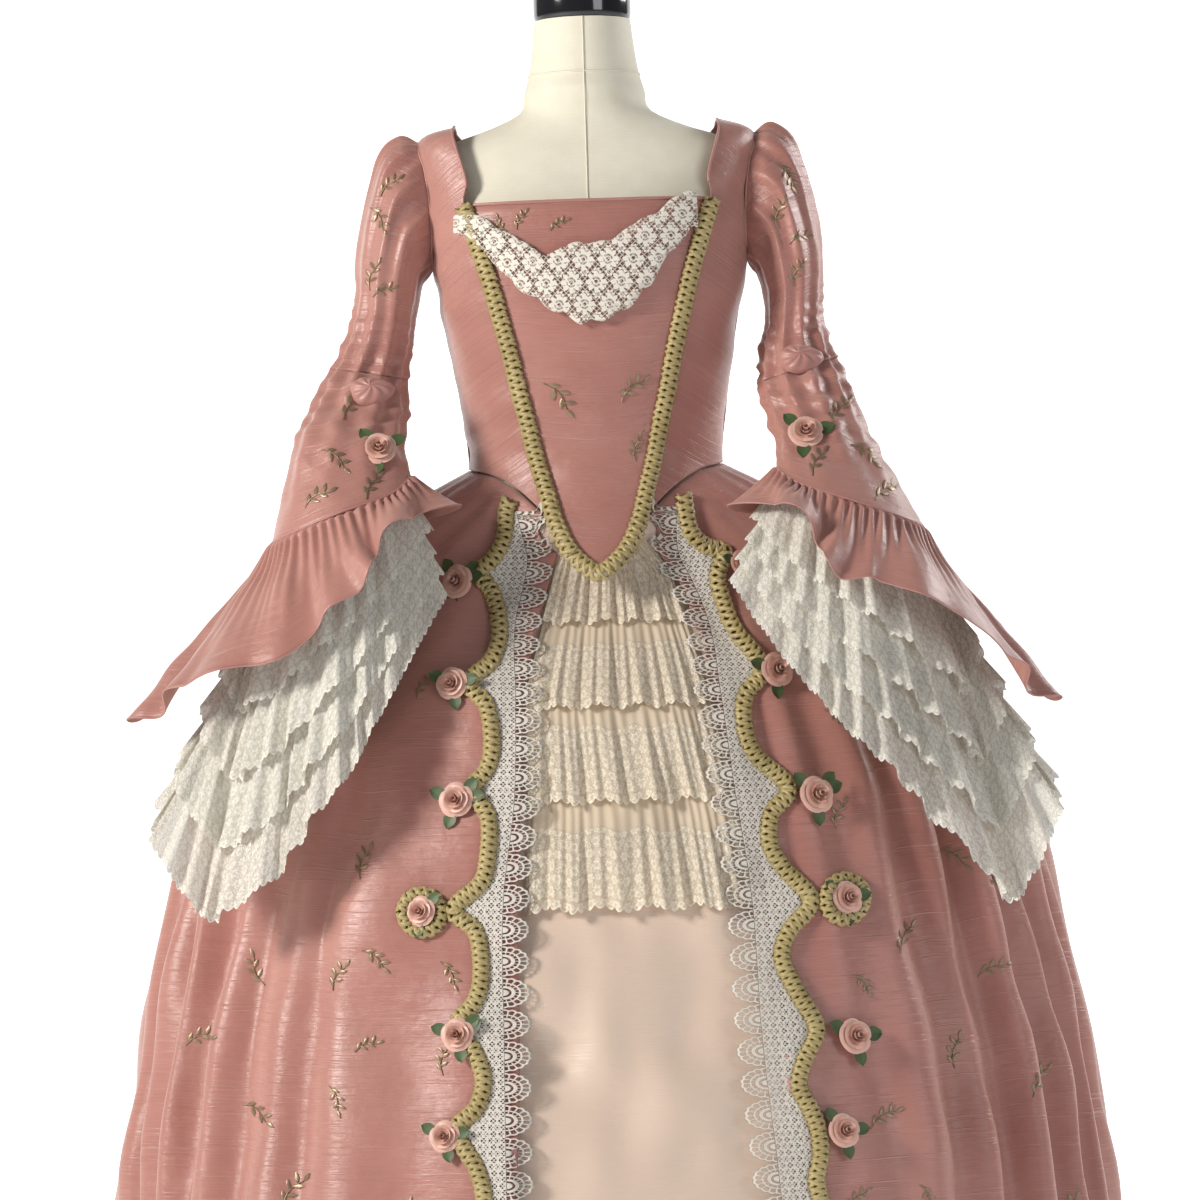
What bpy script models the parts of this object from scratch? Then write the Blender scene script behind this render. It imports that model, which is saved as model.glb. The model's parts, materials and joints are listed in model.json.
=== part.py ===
"""Ball gown in the robe style on a limbless dress form.

Metres, +Z up, the wearer's front towards -Y and +X at the viewer's right. The origin is on the floor
under the middle of the stand. Every cloth piece is a thin wall, and the tables are in millimetres.
"""

import math

import bmesh
import bpy
import numpy as np
from mathutils import Vector
from mathutils.bvhtree import BVHTree
from mathutils.geometry import delaunay_2d_cdt

MM = 0.001
CLOTH = 1.5 * MM  # wall of silk, satin and gathered lace
LACE_WALL = 1.2 * MM
SEAM = 0.3 * MM  # gap between pieces that are sewn together
ON_TOP = 0.4 * MM  # gap under a trim that lies on a panel

WAIST_Z = 1050.0
NECKLINE_Z = 1306.0
TIP_Z = 941.0
UNDERARM_Z = 1250.0
BACK_NECK_Z = 1348.0
HEM_Z = 14.0
FORM_INSET, SHOULDER_INSET = 7.5, 14.0  # the dress form's skin under the bodice's outer face
SHOULDER_Z = 1340.0
BRAID_WIDTH = 11.0
BRAID_HEIGHT = 4.0
BRAID_TOP = 0.7  # the top's share of the braid's width
# How far out from the cloth the trims start.
BRAID_OUT, RING_OUT, STOMACHER_BRAID_OUT, EDGING_OUT, BODICE_LACE_OUT = 1.2, 0.9, 1.9, 2.8, 8.2
ROSE_GAP = 0.7  # between a rose and the braid
CUFF_GAP = (0, 0, 0.6)  # between the lower sleeve and its flounce
ELBOW_GAP = (0, 0.6, 1.3)  # between the upper sleeve and the lower
SLEEVE_COLUMNS, FLOUNCE_COLUMNS, LACE_COLUMNS = 20, 32, 28
ROSE_DEEP = 0.62  # a rose's depth as a share of its radius

# Bodice and dress form sections: height, half width, depth to the front, depth to the back, squareness.
BODY = np.array([
    (930, 140, 164, 100, 2.0),
    (960, 138, 146, 98, 2.0),
    (1000, 134, 118, 94, 2.0),
    (1050, 127, 98, 88, 2.0),
    (1110, 133, 100, 88, 2.1),
    (1175, 143, 108, 92, 2.2),
    (1250, 156, 116, 94, 2.4),
    (1306, 163, 104, 90, 2.4),
    (1347, 169, 88, 80, 2.4),
    (1370, 171, 78, 72, 2.3),
    (1383, 158, 72, 68, 2.2),
    (1393, 128, 68, 65, 2.0),
    (1406, 95, 66, 63, 2.0),
    (1420, 68, 64, 62, 2.0),
], dtype=float)
# Dress form below the waist and in the neck: height, half width, front, back.
FORM_HIPS = [(890, 142, 92, 100), (900, 150, 98, 106), (960, 142, 96, 98), (1020, 126, 93, 88)]
FORM_NECK = [(1424, 60, 58, 56), (1437, 56, 53, 53), (1453, 53, 52, 52), (1494, 48, 48, 48)]
CAP_RADIUS, CAP_BOTTOM, CAP_TOP = 49.0, 1494.3, 1524.0
POLE_RADIUS, BASE_RADIUS, BASE_HEIGHT = 17.0, 190.0, 16.0

# Stomacher seam: height, half width.
STOMACHER = [(941, 2), (949, 15), (965, 29), (989, 40), (1020, 48), (1054, 57), (1092, 65), (1121, 72),
             (1160, 80), (1197, 89), (1229, 97), (1265, 108), (1306, 121)]
# Waist seam of the side fronts: half width, height.
TIP_ROWS = (950, 963, 980)  # heights of the stomacher's cross rows below and above the side fronts' point
SEAM_ROWS = (1000, 1022, 1048, 1080, 1120, 1165, 1210, 1260, NECKLINE_Z)
WAIST_SEAM = [(41, 991), (55, 1005), (78, 1027), (100, 1041), (127, 1050)]
# Armhole seen from the side: centre height, half height, half depth.
ARMHOLE = (1317.0, 67.0, 43.0)
STRAP_INNER, STRAP_OUTER = 131.0, 170.0
HEAD_GAP = 0.9  # the sleeve head's start outside the armhole edge

EYE_HEIGHT, EYE_DISTANCE = 915.0, 5000.0  # where the widths and heights marked "as seen" were seen from

# Skirt: height, half width, front depth, back depth.
SKIRT = np.array([
    (10, 524, 402, 505),
    (300, 504, 370, 452),
    (450, 485, 342, 408),
    (600, 452, 304, 362),
    (700, 427, 272, 330),
    (800, 390, 228, 292),
    (850, 358, 198, 262),
    (900, 320, 168, 226),
    (950, 272, 138, 186),
    (1000, 212, 114, 142),
    (1030, 165, 103, 112),
    (1050, 128, 98, 88.5),
], dtype=float)
SKIRT_SQUARE = 2.15
SKIRT_ROWS = np.array([0, 0.03, 0.065, 0.11, 0.165, 0.24, 0.36, 0.54, 0.76, 1.0])
SKIRT_GAP = 2.0  # under the bodice's lower edge
SEAM_FADE = 70.0  # below this drop the skirt no longer follows the waist seam's curve
SIDE_SEAM_DEG = 97.0
# Overskirt front edge: height, x on the left, x on the right.
FRONT_EDGE = np.array([
    (10, 100, 182), (315, 100, 176), (480, 92, 170), (600, 92, 154), (700, 85, 138), (815, 82, 112),
    (945, 56, 87), (992, 44, 56), (1002, 42, 46),
], dtype=float)
# Folds of the overskirt fronts: side, turn from the front in degrees at the hip and at the hem, how far
# the crease goes in, its half width in degrees, and the height where it fades out.
FOLDS = [
    (-1, 36, 37, 12, 3.0, 980), (-1, 47, 49, 20, 3.4, 900), (-1, 56, 61, 27, 3.4, 960),
    (-1, 66, 71, 30, 3.2, 930), (-1, 76, 80, 24, 3.2, 980), (-1, 88, 89, 22, 3.2, 1010),
    (1, 38, 42, 19, 3.2, 960), (1, 47, 54, 27, 3.2, 1000), (1, 57, 63, 30, 3.4, 950),
    (1, 67, 72, 24, 3.0, 900), (1, 77, 80, 27, 3.2, 990), (1, 88, 89, 22, 3.2, 1010),
]
BACK_FOLDS = [(107 + 18.25 * k, 24, 5.0) for k in range(9)]

# Braid on the overskirt: x and height where its line turns, cusps towards the side seam.
BRAID_LEFT = [(86, 1018), (90, 1006), (94, 978), (106, 958), (120, 945), (107, 925), (101, 887), (110, 857),
              (133, 836), (116, 812), (112, 773), (118, 748), (133, 728), (118, 700), (120, 659), (128, 634),
              (156, 608), (134, 585), (130, 542), (138, 514), (155, 494), (139, 465), (131, 437), (139, 409),
              (160, 386), (141, 350), (134, 318), (142, 285), (158, 262), (142, 235), (134, 200), (142, 168),
              (158, 140), (141, 110), (134, 78), (143, 45), (158, 18), (142, -12), (136, -35), (142, -52)]
BRAID_RIGHT = [(86, 1018), (87, 1005), (92, 980), (106, 966), (125, 958), (118, 935), (123, 909), (134, 880),
               (160, 842), (143, 815), (140, 787), (150, 755), (183, 720), (165, 695), (162, 666), (175, 640),
               (202, 606), (178, 575), (171, 548), (185, 515), (204, 477), (190, 445), (184, 420), (195, 396),
               (202, 376), (204, 350), (199, 324), (206, 292), (214, 262), (203, 230), (198, 200), (206, 168),
               (216, 140), (204, 110), (198, 78), (206, 45), (217, 18), (205, -12), (199, -35), (206, -52)]
RING_LEFT, RING_RIGHT = (187, 606, 19), (236, 606, 20)  # braid rings: x, height, radius
# Inner edge of the white lace edging: x and height, as seen.
EDGING_LEFT = [(60, 1008), (55, 985), (50, 955), (54, 935), (63, 900), (66, 815), (70, 720), (84, 620),
               (88, 470), (90, 315), (90, -52)]
EDGING_RIGHT = [(60, 1008), (57, 985), (60, 955), (70, 935), (84, 900), (97, 815), (108, 720), (121, 620),
                (128, 470), (142, 315), (154, -52)]
LOOP_PITCH, LOOP_DEEP = 44.0, 11.0
HEXAGON = [k * math.pi / 3 for k in range(6)]
PENTAGON = [k * math.pi / 2.5 for k in range(5)]
LOBE = [(0.2, 0.85), (0.8, 0.85)]  # a scallop's points: share of its width, share of its depth

# The petticoat lies this far inside the overskirt, at the front and at the sides.
FRONT_INSET, SIDE_INSET, FRONT_TURN, PETTICOAT_TOP_INSET = 12.0, 38.0, 25.0, 2.8
# Petticoat ruffles: top height, hem height, number of waves, depth of the waves.
RUFFLES = [(972, 893, 5, 4.5), (902, 812, 5, 5.0), (820, 722, 5, 5.0), (730, 622, 5, 5.0)]
RUFFLE_SIDE_GAP = 0.012  # in radians, to the overskirt's front edge

# Sleeve stations: outer x and z, inner x and z, middle y, half depth, pleat depth, as seen on each side.
SLEEVE = {
    "left": [
        (188, 1381, 164, 1244, 0, 52, 3.5), (210, 1357, 169, 1237, 0, 57, 3.5),
        (231, 1275, 174, 1212, -6, 54, 2.0),
        (235, 1222, 178, 1192, -14, 46, 2.0), (244, 1188, 183, 1168, -26, 41, 2.5),
        (260, 1155, 188, 1142, -45, 37, 3.5)],
    "right": [
        (188, 1383, 164, 1244, 0, 52, 3.5), (212, 1356, 169, 1237, 0, 57, 3.5),
        (232, 1272, 174, 1210, -6, 54, 2.0),
        (231, 1218, 174, 1188, -14, 46, 2.0), (231, 1185, 169, 1160, -26, 41, 2.5),
        (241, 1150, 166, 1128, -45, 37, 3.5)],
}
LOWER_SLEEVE = {
    "left": [(281, 1118, 188, 1108, -72, 40, 3.0),
             (299, 1082, 192, 1078, -100, 47, 2.0)],
    "right": [(259, 1110, 174, 1096, -72, 40, 3.0),
              (281, 1060, 181, 1066, -100, 47, 2.0)],
}
# Rings of the cuff, each from the inner point round the front to the outer and the back: x, y, z.
CUFF = {
    "left": [(186, -140, 1044.5), (206, -178, 1027), (256, -196, 1011), (305, -179, 992),
             (325, -140, 983.5), (305, -101, 996), (256, -84, 1015), (206, -101, 1033)],
    "right": [(181, -140, 1042.5), (202, -178, 1026), (253, -196, 1008), (304, -179, 989),
              (325, -140, 979.5), (304, -101, 992), (253, -84, 1012), (202, -101, 1032)],
}
FLOUNCE_HEM = {
    "left": [(150, -158, 1008), (196, -222, 1000), (240, -248, 938), (318, -262, 868),
             (410, -240, 845), (464, -186, 806), (380, -100, 890), (246, -80, 975)],
    "right": [(144, -158, 1000), (190, -222, 1004), (240, -248, 934), (318, -262, 914),
              (400, -240, 850), (446, -186, 800), (372, -100, 890), (242, -80, 975)],
}
LACE_HEM = {
    "left": [(160, -178, 922), (200, -226, 846), (258, -272, 742), (330, -280, 645),
             (400, -262, 603), (450, -222, 686), (402, -178, 748), (264, -158, 870)],
    "right": [(138, -184, 928), (180, -232, 852), (248, -276, 768), (326, -284, 680),
              (402, -262, 597), (450, -222, 690), (402, -178, 745), (262, -158, 870)],
}
# Lace tiers as shares of the fall: top, middle row and hem.
LACE_TIERS = [(0.0, 0.25, 0.46), (0.25, 0.46, 0.64), (0.46, 0.64, 0.82), (0.64, 0.82, 1.0)]
LACE_ROWS = [0.0, 0.25, 0.46, 0.64, 0.82, 1.0]
TIER_STEP, LACE_WAVE, FLOUNCE_WAVE = 2.4, 5.5, 8.0
LONG_FALL = 320.0  # a fall this long has the full wave
NORMAL_BLUR = 14  # how many columns for each round that evens out the lace's normals
CUFF_WAVES, LACE_WAVES = 8, 7
ELBOW_KNOT = {"left": (218, 1126), "right": (204, 1146)}

# Roses: side, x, height, radius.
SKIRT_ROSES = [(-1, 139, 936, 17), (-1, 148, 834, 16), (-1, 148, 717, 17), (-1, 187, 606, 15),
               (-1, 154, 482, 16), (-1, 170, 380, 15),
               (1, 140, 946, 13), (1, 172, 838, 17), (1, 208, 711, 18), (1, 236, 606, 16),
               (1, 240, 466, 17), (1, 226, 372, 16)]
SLEEVE_ROSES = {"left": (210, 1066, 17), "right": (205, 1070, 17)}

# The white lace piece on the bodice: its outline and its larger gaps, as x and height.
BODICE_LACE_TOP = [(-128, 1296), (-106, 1294), (-84, 1278), (-66, 1268), (-42, 1252), (-18, 1262), (0, 1262),
                   (24, 1266), (46, 1281), (66, 1290), (88, 1308), (104, 1312)]
BODICE_LACE_BOTTOM = [(97, 1278), (84, 1262), (68, 1244), (58, 1226), (40, 1208), (26, 1198), (8, 1192),
                      (-10, 1190), (-28, 1200), (-44, 1208), (-56, 1218), (-72, 1228), (-86, 1246),
                      (-102, 1262), (-116, 1280)]
BODICE_LACE_HOLES = [(-96, 1272), (-82, 1258), (-70, 1246), (-53, 1234), (-40, 1222), (-22, 1216), (-6, 1208),
                     (10, 1216), (26, 1221), (42, 1234), (58, 1246), (70, 1258), (83, 1268), (92, 1284),
                     (-28, 1240), (0, 1238), (28, 1244)]

COLOURS = {
    "linen": ((0.80, 0.76, 0.63), 0.9),
    "black_cap": ((0.01, 0.01, 0.012), 0.2),
    "stand": ((0.06, 0.06, 0.065), 0.45),
    "pink_silk": ((0.58, 0.28, 0.25), 0.5),
    "ivory_lace": ((0.78, 0.75, 0.64), 0.85),
    "white_lace": ((0.85, 0.82, 0.76), 0.85),
    "cream_satin": ((0.74, 0.56, 0.42), 0.5),
    "cream_lace": ((0.84, 0.72, 0.52), 0.8),
    "olive_braid": ((0.36, 0.32, 0.10), 0.7),
    "rose_satin": ((0.78, 0.48, 0.40), 0.5),
}


def empty_scene():
    """Remove every object that the file opens with."""
    for obj in list(bpy.data.objects):
        bpy.data.objects.remove(obj, do_unlink=True)


def new_collection(name):
    """A collection under the scene's own."""
    made = bpy.data.collections.new(name)
    bpy.context.scene.collection.children.link(made)
    return made


def material(name):
    """The Principled material of this colour name, made once."""
    if name in bpy.data.materials:
        return bpy.data.materials[name]
    colour, rough = COLOURS[name]
    mat = bpy.data.materials.new(name)
    mat.use_nodes = True
    shader = mat.node_tree.nodes["Principled BSDF"]
    shader.inputs["Base Color"].default_value = (*colour, 1.0)
    shader.inputs["Roughness"].default_value = rough
    shader.inputs["Metallic"].default_value = 0.0
    return mat


def add_object(name, mesh, finish):
    """Link a mesh to the gown's collection with its finish."""
    mesh.materials.clear()
    mesh.materials.append(material(finish))
    obj = bpy.data.objects.new(name, mesh)
    bpy.data.collections["ball_gown"].objects.link(obj)
    return obj


def grid_mesh(name, points, round_it=False):
    """An open surface of triangles from rows of points; round_it joins the last column to the first."""
    rows, columns = points.shape[:2]
    made = bmesh.new()
    corners = [[made.verts.new(p) for p in row] for row in points]
    last = columns if round_it else columns - 1
    for j in range(rows - 1):
        for i in range(last):
            k = (i + 1) % columns
            made.faces.new((corners[j][i], corners[j][k], corners[j + 1][k]))
            made.faces.new((corners[j][i], corners[j + 1][k], corners[j + 1][i]))
    mesh = bpy.data.meshes.new(name)
    made.to_mesh(mesh)
    made.free()
    return mesh


def outward(points, round_it):
    """1 where the surface's normals point away from the middle of the gown or tube, or else -1."""
    across = np.roll(points, -1, axis=1) - points
    down = np.diff(points, axis=0)
    normals = np.cross(across[:-1, :-1], down[:, :-1])
    if round_it:
        middle = points.mean(axis=1, keepdims=True)
    else:
        middle = points * (0, 0, 1)
    return float(np.sign((normals * (points - middle)[:-1, :-1]).sum()))


def wall(name, points, finish, thick=CLOTH, round_it=False):
    """A cloth wall with the points on its outer face and Solidify's thickness inside them."""
    obj = add_object(name, grid_mesh(name, points * MM, round_it), finish)
    shell = obj.modifiers.new("wall", "SOLIDIFY")
    shell.thickness = thick
    shell.offset = -outward(points, round_it)
    shell.use_even_offset = False
    obj.data.shade_smooth()
    return obj


def curve_through(xs, ys, at):
    """A smooth curve through the values, with the slopes of its neighbours, read at the places given."""
    xs, ys = np.asarray(xs, float), np.asarray(ys, float)
    slope = np.gradient(ys, xs)
    at = np.clip(at, xs[0], xs[-1])
    k = np.clip(np.searchsorted(xs, at) - 1, 0, len(xs) - 2)
    step = xs[k + 1] - xs[k]
    t = (at - xs[k]) / step
    return ((2 * t**3 - 3 * t**2 + 1) * ys[k] + (t**3 - 2 * t**2 + t) * step * slope[k]
            + (3 * t**2 - 2 * t**3) * ys[k + 1] + (t**3 - t**2) * step * slope[k + 1])


def ring_through(points, u):
    """A closed smooth curve through the points, at shares u of its turn."""
    points = np.asarray(points, float)
    count = len(points)
    at = (np.asarray(u) % 1.0) * count
    k = at.astype(int) % count
    t = (at - at.astype(int))[..., None]
    a, b, c, d = (points[(k + step) % count] for step in (-1, 0, 1, 2))
    return 0.5 * (2 * b + (c - a) * t + (2 * a - 5 * b + 4 * c - d) * t**2 + (3 * b - a - 3 * c + d) * t**3)


def body_value(p):
    """Zero on the bodice's outer face, below zero inside it."""
    z = p[..., 2]
    wide, front, back, power = (curve_through(BODY[:, 0], BODY[:, k], z) for k in (1, 2, 3, 4))
    deep = np.where(p[..., 1] < 0, front, back)
    return (np.abs(p[..., 0] / wide) ** power + np.abs(p[..., 1] / deep) ** power) ** (1 / power) - 1


def body_normal(p):
    """The gradient of body_value."""
    step = 0.02
    slopes = []
    for axis in range(3):
        move = np.zeros(3)
        move[axis] = step
        slopes.append((body_value(p + move) - body_value(p - move)) / (2 * step))
    return np.stack(slopes, axis=-1)


def on_body(p, out=0.0):
    """Points moved onto the bodice's outer face, and then out by a distance."""
    p = np.array(p, float)
    for _ in range(12):
        slope = body_normal(p)
        p = p - (body_value(p) / np.maximum((slope**2).sum(-1), 1e-9))[..., None] * slope
    slope = body_normal(p)
    return p + out * slope / np.linalg.norm(slope, axis=-1, keepdims=True)


def along(points, count):
    """Points spaced evenly by length along a line, ends included."""
    points = np.asarray(points, float)
    steps = np.linalg.norm(np.diff(points, axis=0), axis=1)
    length = np.concatenate([[0], np.cumsum(steps)])
    at = np.linspace(0, length[-1], count)
    return np.stack([np.interp(at, length, points[:, k]) for k in range(points.shape[1])], axis=-1)


def patch(bottom, top, left, right):
    """A surface between four edges with shared corners: rows from bottom to top, columns left to right."""
    u = np.linspace(0, 1, len(bottom))[None, :, None]
    v = np.linspace(0, 1, len(left))[:, None, None]
    across = (1 - v) * bottom[None] + v * top[None]
    up = (1 - u) * left[:, None] + u * right[:, None]
    corners = ((1 - u) * (1 - v) * bottom[0] + u * (1 - v) * bottom[-1]
               + (1 - u) * v * top[0] + u * v * top[-1])
    return across + up - corners


def front_at(x, z):
    """Front points of the body with this x and height."""
    wide, front, power = (curve_through(BODY[:, 0], BODY[:, k], z) for k in (1, 2, 4))
    share = np.clip(np.abs(x / wide), 0, 0.999)
    return np.stack([x, -front * (1 - share**power) ** (1 / power), z], axis=-1)


def stomacher_half(z):
    """Half width of the stomacher at a height."""
    table = np.array(STOMACHER, float)
    return np.interp(z, table[:, 0], table[:, 1])


def armhole_edge(turn):
    """The armhole's edge: 0 at the underarm, 1 at the shoulder, towards the front for turn > 0 and the
    back for turn < 0, as a point near the body."""
    middle, tall, deep = ARMHOLE
    angle = np.pi * np.abs(turn)
    y = -np.sign(turn) * deep * np.sin(angle)
    z = middle - tall * np.cos(angle)
    x = np.interp(z, [UNDERARM_Z, 1384], [156, STRAP_OUTER])
    return np.stack([x, y, z], axis=-1)


def build_form():
    """The dress form: torso with neck in one loft, cap, pole and base."""
    columns = 18
    angle = np.linspace(0, 2 * np.pi, columns, endpoint=False)
    rings = []
    for z, wide, front, back in FORM_HIPS:
        rings.append((z, wide, front, back, 2.0))
    for z in (1050, 1110, 1175, 1250, 1306, 1347, 1366, 1377, 1386, 1398, 1412):
        section = [float(curve_through(BODY[:, 0], BODY[:, k], z)) for k in (1, 2, 3, 4)]
        inset = SHOULDER_INSET if z > SHOULDER_Z else FORM_INSET
        rings.append((z - inset + 2.5, section[0] - inset, section[1] - inset, section[2] - inset,
                      section[3]))
    for z, wide, front, back in FORM_NECK:
        rings.append((z, wide, front, back, 2.0))
    made = bmesh.new()
    loops = []
    for z, wide, front, back, power in rings:
        x = wide * np.sign(np.sin(angle)) * np.abs(np.sin(angle)) ** (2 / power)
        deep = np.where(np.cos(angle) > 0, front, back)
        y = -deep * np.sign(np.cos(angle)) * np.abs(np.cos(angle)) ** (2 / power)
        loops.append([made.verts.new((a * MM, b * MM, z * MM)) for a, b in zip(x, y)])
    for low, high in zip(loops, loops[1:]):
        for i in range(columns):
            k = (i + 1) % columns
            made.faces.new((low[i], low[k], high[k], high[i]))
    made.faces.new(list(reversed(loops[0])))
    made.faces.new(loops[-1])
    bmesh.ops.recalc_face_normals(made, faces=made.faces)
    mesh = bpy.data.meshes.new("form_torso")
    made.to_mesh(mesh)
    made.free()
    mesh.shade_smooth()
    add_object("form_torso", mesh, "linen")
    turned("form_neck_cap", [(CAP_RADIUS - 2, CAP_TOP), (CAP_RADIUS, CAP_TOP - 3), (CAP_RADIUS, CAP_TOP - 20),
                             (CAP_RADIUS - 2, CAP_BOTTOM)], 20, "black_cap")
    turned("form_pole", [(POLE_RADIUS, FORM_HIPS[0][0] - 0.3), (POLE_RADIUS, BASE_HEIGHT + 0.3)], 16, "stand")
    turned("form_base", [(40, BASE_HEIGHT), (BASE_RADIUS - 12, BASE_HEIGHT - 6), (BASE_RADIUS, 4),
                         (BASE_RADIUS, 0)], 24, "stand")


def turned(name, profile, sides, finish):
    """A closed turned solid, from its profile of radius and height, top to bottom."""
    made = bmesh.new()
    loops = []
    for radius, z in profile:
        loops.append([made.verts.new((radius * MM * math.cos(2 * math.pi * i / sides),
                                      radius * MM * math.sin(2 * math.pi * i / sides), z * MM))
                      for i in range(sides)])
    for high, low in zip(loops, loops[1:]):
        for i in range(sides):
            k = (i + 1) % sides
            made.faces.new((low[i], low[k], high[k], high[i]))
    made.faces.new(loops[0])
    made.faces.new(list(reversed(loops[-1])))
    mesh = bpy.data.meshes.new(name)
    made.to_mesh(mesh)
    made.free()
    mesh.shade_smooth()
    mesh.set_sharp_from_angle(angle=math.radians(40))
    add_object(name, mesh, finish)


def stomacher_points(columns, out=0.0):
    """The stomacher's face from its tip to the neckline."""
    z = np.array([TIP_Z, *TIP_ROWS, *SEAM_ROWS])
    s = np.linspace(-1, 1, columns)
    half = np.maximum(stomacher_half(z), 2) - SEAM / MM / 2
    x = half[:, None] * s[None, :]
    return on_body(front_at(x, np.broadcast_to(z[:, None], x.shape)), out)


def side_front_points(side, rows, columns):
    """One side front with its shoulder strap, from the stomacher seam to the side seam."""
    height = np.array([991.0, *SEAM_ROWS])
    seam = front_at(stomacher_half(height) + SEAM / MM, height)
    strap = [(122.5, -84, 1330), (127, -62, 1362), (130, -32, 1384), (STRAP_INNER, -0.8, 1393)]
    left = np.concatenate([seam, along(np.array([seam[-1], *strap]), rows - len(seam) + 1)[1:]])
    low = np.array([(127 + (156 - 127) * t, -0.6, WAIST_Z + (UNDERARM_Z - WAIST_Z) * t)
                    for t in np.linspace(0, 1, 12)])
    arm = armhole_edge(np.linspace(0.02, 0.99, 30))
    right = along(np.concatenate([low, arm]), rows)
    bottom = np.array([front_at(np.array(float(x)), np.array(float(z))) for x, z in WAIST_SEAM])
    bottom[-1] = right[0]
    bottom = along(bottom, columns)
    bottom[0], top = left[0], along(np.array([left[-1], right[-1]]), columns)
    points = on_body(patch(bottom, top, left, right))
    points[..., 0] *= side
    return points if side > 0 else points[:, ::-1]


def back_points(side, rows, columns):
    """One back panel, from the centre back seam to the side seam, up to the shoulder."""
    height = np.linspace(WAIST_Z, BACK_NECK_Z, 20)
    left = along(np.stack([np.full(20, 0.2), np.full(20, 90.0), height], axis=-1), rows)
    low = np.array([(127 + (156 - 127) * t, 0.6, WAIST_Z + (UNDERARM_Z - WAIST_Z) * t)
                    for t in np.linspace(0, 1, 12)])
    arm = armhole_edge(-np.linspace(0.02, 0.99, 30))
    right = along(np.concatenate([low, arm]), rows)
    waist = [(127 * math.sin(a), 88 * math.cos(a), WAIST_Z) for a in np.linspace(0, np.pi / 2, 20)]
    bottom = along(np.array(waist), columns)
    top = along(np.array([(0.2, 80, BACK_NECK_Z), (70, 76, BACK_NECK_Z + 4), (112, 58, 1366), (127, 30, 1384),
                          (STRAP_INNER, 0.8, 1393), (STRAP_OUTER, 0.8, 1384)]), columns)
    left[0], bottom[-1], top[-1] = bottom[0], right[0], right[-1]
    left[-1] = top[0]
    points = on_body(patch(bottom, top, left, right))
    points[..., 0] = np.maximum(points[..., 0], 0.15) * side
    return points if side < 0 else points[:, ::-1]


def build_bodice():
    """The bodice's five panels, with their walls inside the body's face."""
    fronts = [stomacher_points(9)]
    wall("bodice_stomacher", fronts[0], "pink_silk")
    for side, word in ((-1, "left"), (1, "right")):
        fronts.append(side_front_points(side, 15, 7))
        wall(f"bodice_front_{word}", fronts[-1], "pink_silk")
        wall(f"bodice_back_{word}", back_points(side, 10, 7), "pink_silk")
    FACETS["bodice"] = Facets(*fronts)


def seam_height(angle):
    """Height of the waist seam at a turn from the front."""
    x = np.abs(np.sin(angle)) * 127
    table = np.array(WAIST_SEAM, float)
    front = np.interp(x, table[:, 0], table[:, 1])
    front = front - 5 * np.clip(1 - x / 70, 0, 1)
    return np.where(np.cos(angle) > 0, front, WAIST_Z)


def skirt_at(angle, z, inside_side=0.0, inside_front=0.0):
    """The skirt's smooth shape at a turn from the front and a height."""
    sections = [curve_through(SKIRT[:, 0], SKIRT[:, k], z) for k in (1, 2, 3)]
    wide = sections[0] - inside_side
    deep = np.where(np.cos(angle) > 0, sections[1] - inside_front, sections[2] - inside_side)
    x = wide * np.sign(np.sin(angle)) * np.abs(np.sin(angle)) ** (2 / SKIRT_SQUARE)
    y = -deep * np.sign(np.cos(angle)) * np.abs(np.cos(angle)) ** (2 / SKIRT_SQUARE)
    return np.stack([x, y, np.broadcast_to(z, x.shape)], axis=-1)


def skirt_turn(x, z):
    """The turn from the front at which the skirt has this x, at this height."""
    wide = curve_through(SKIRT[:, 0], SKIRT[:, 1], z)
    return np.arcsin(np.clip(np.abs(x) / wide, 0, 1) ** (SKIRT_SQUARE / 2)) * np.sign(x)


def fold_depth(angle, z):
    """How far the folds draw the skirt in at a turn and a height."""
    turn = np.degrees(np.abs(angle))
    drop = (WAIST_Z - z) / (WAIST_Z - HEM_Z)
    depth = np.zeros(np.broadcast(angle, z).shape)
    for side, hip, hem, deep, half, top in FOLDS:
        middle = hip + (hem - hip) * drop
        fade = np.clip((top - z) / 260, 0, 1) ** 0.8
        depth = depth + np.where(angle * side > 0, deep * fade * np.exp(-((turn - middle) / half) ** 2), 0)
    for middle, deep, half in BACK_FOLDS:
        fade = np.clip((1040 - z) / 300, 0, 1) ** 0.8
        where = np.degrees(angle) % 360
        depth = depth + deep * fade * np.exp(-((where - middle) / half) ** 2)
    return depth


def overskirt_smooth(angle, z, top):
    """The overskirt's shape without folds, at a turn and height, with its top at the waist seam."""
    drop = top - z
    lift = (WAIST_Z - top) * np.clip(1 - drop / (2.2 * SEAM_FADE), 0, 1)
    p = skirt_at(angle, z + lift)
    p[..., 2] = z
    seam = on_body(np.stack([np.sin(angle) * 127, -np.cos(angle) * 98, top], axis=-1))
    start = skirt_at(angle, top + (WAIST_Z - top))
    start[..., 2] = top
    return p + (seam - start) * (np.clip(1 - drop / SEAM_FADE, 0, 1) ** 2)[..., None]


def overskirt_point(angle, share, out=0.0):
    """The overskirt at a turn and a share of the way from the waist seam to the hem, moved out."""
    top = seam_height(angle) - SKIRT_GAP
    z = top + (HEM_Z - top) * share
    drop = top - z
    p = overskirt_smooth(angle, z, top)
    away = np.stack([np.sin(angle), -np.cos(angle), np.zeros_like(angle)], axis=-1)
    gathers = 2.0 * np.cos(34 * angle) * np.clip(drop / 30, 0, 1) * np.clip(1 - drop / 130, 0, 1)
    return p + (out - fold_depth(angle, z) - gathers)[..., None] * away


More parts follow.
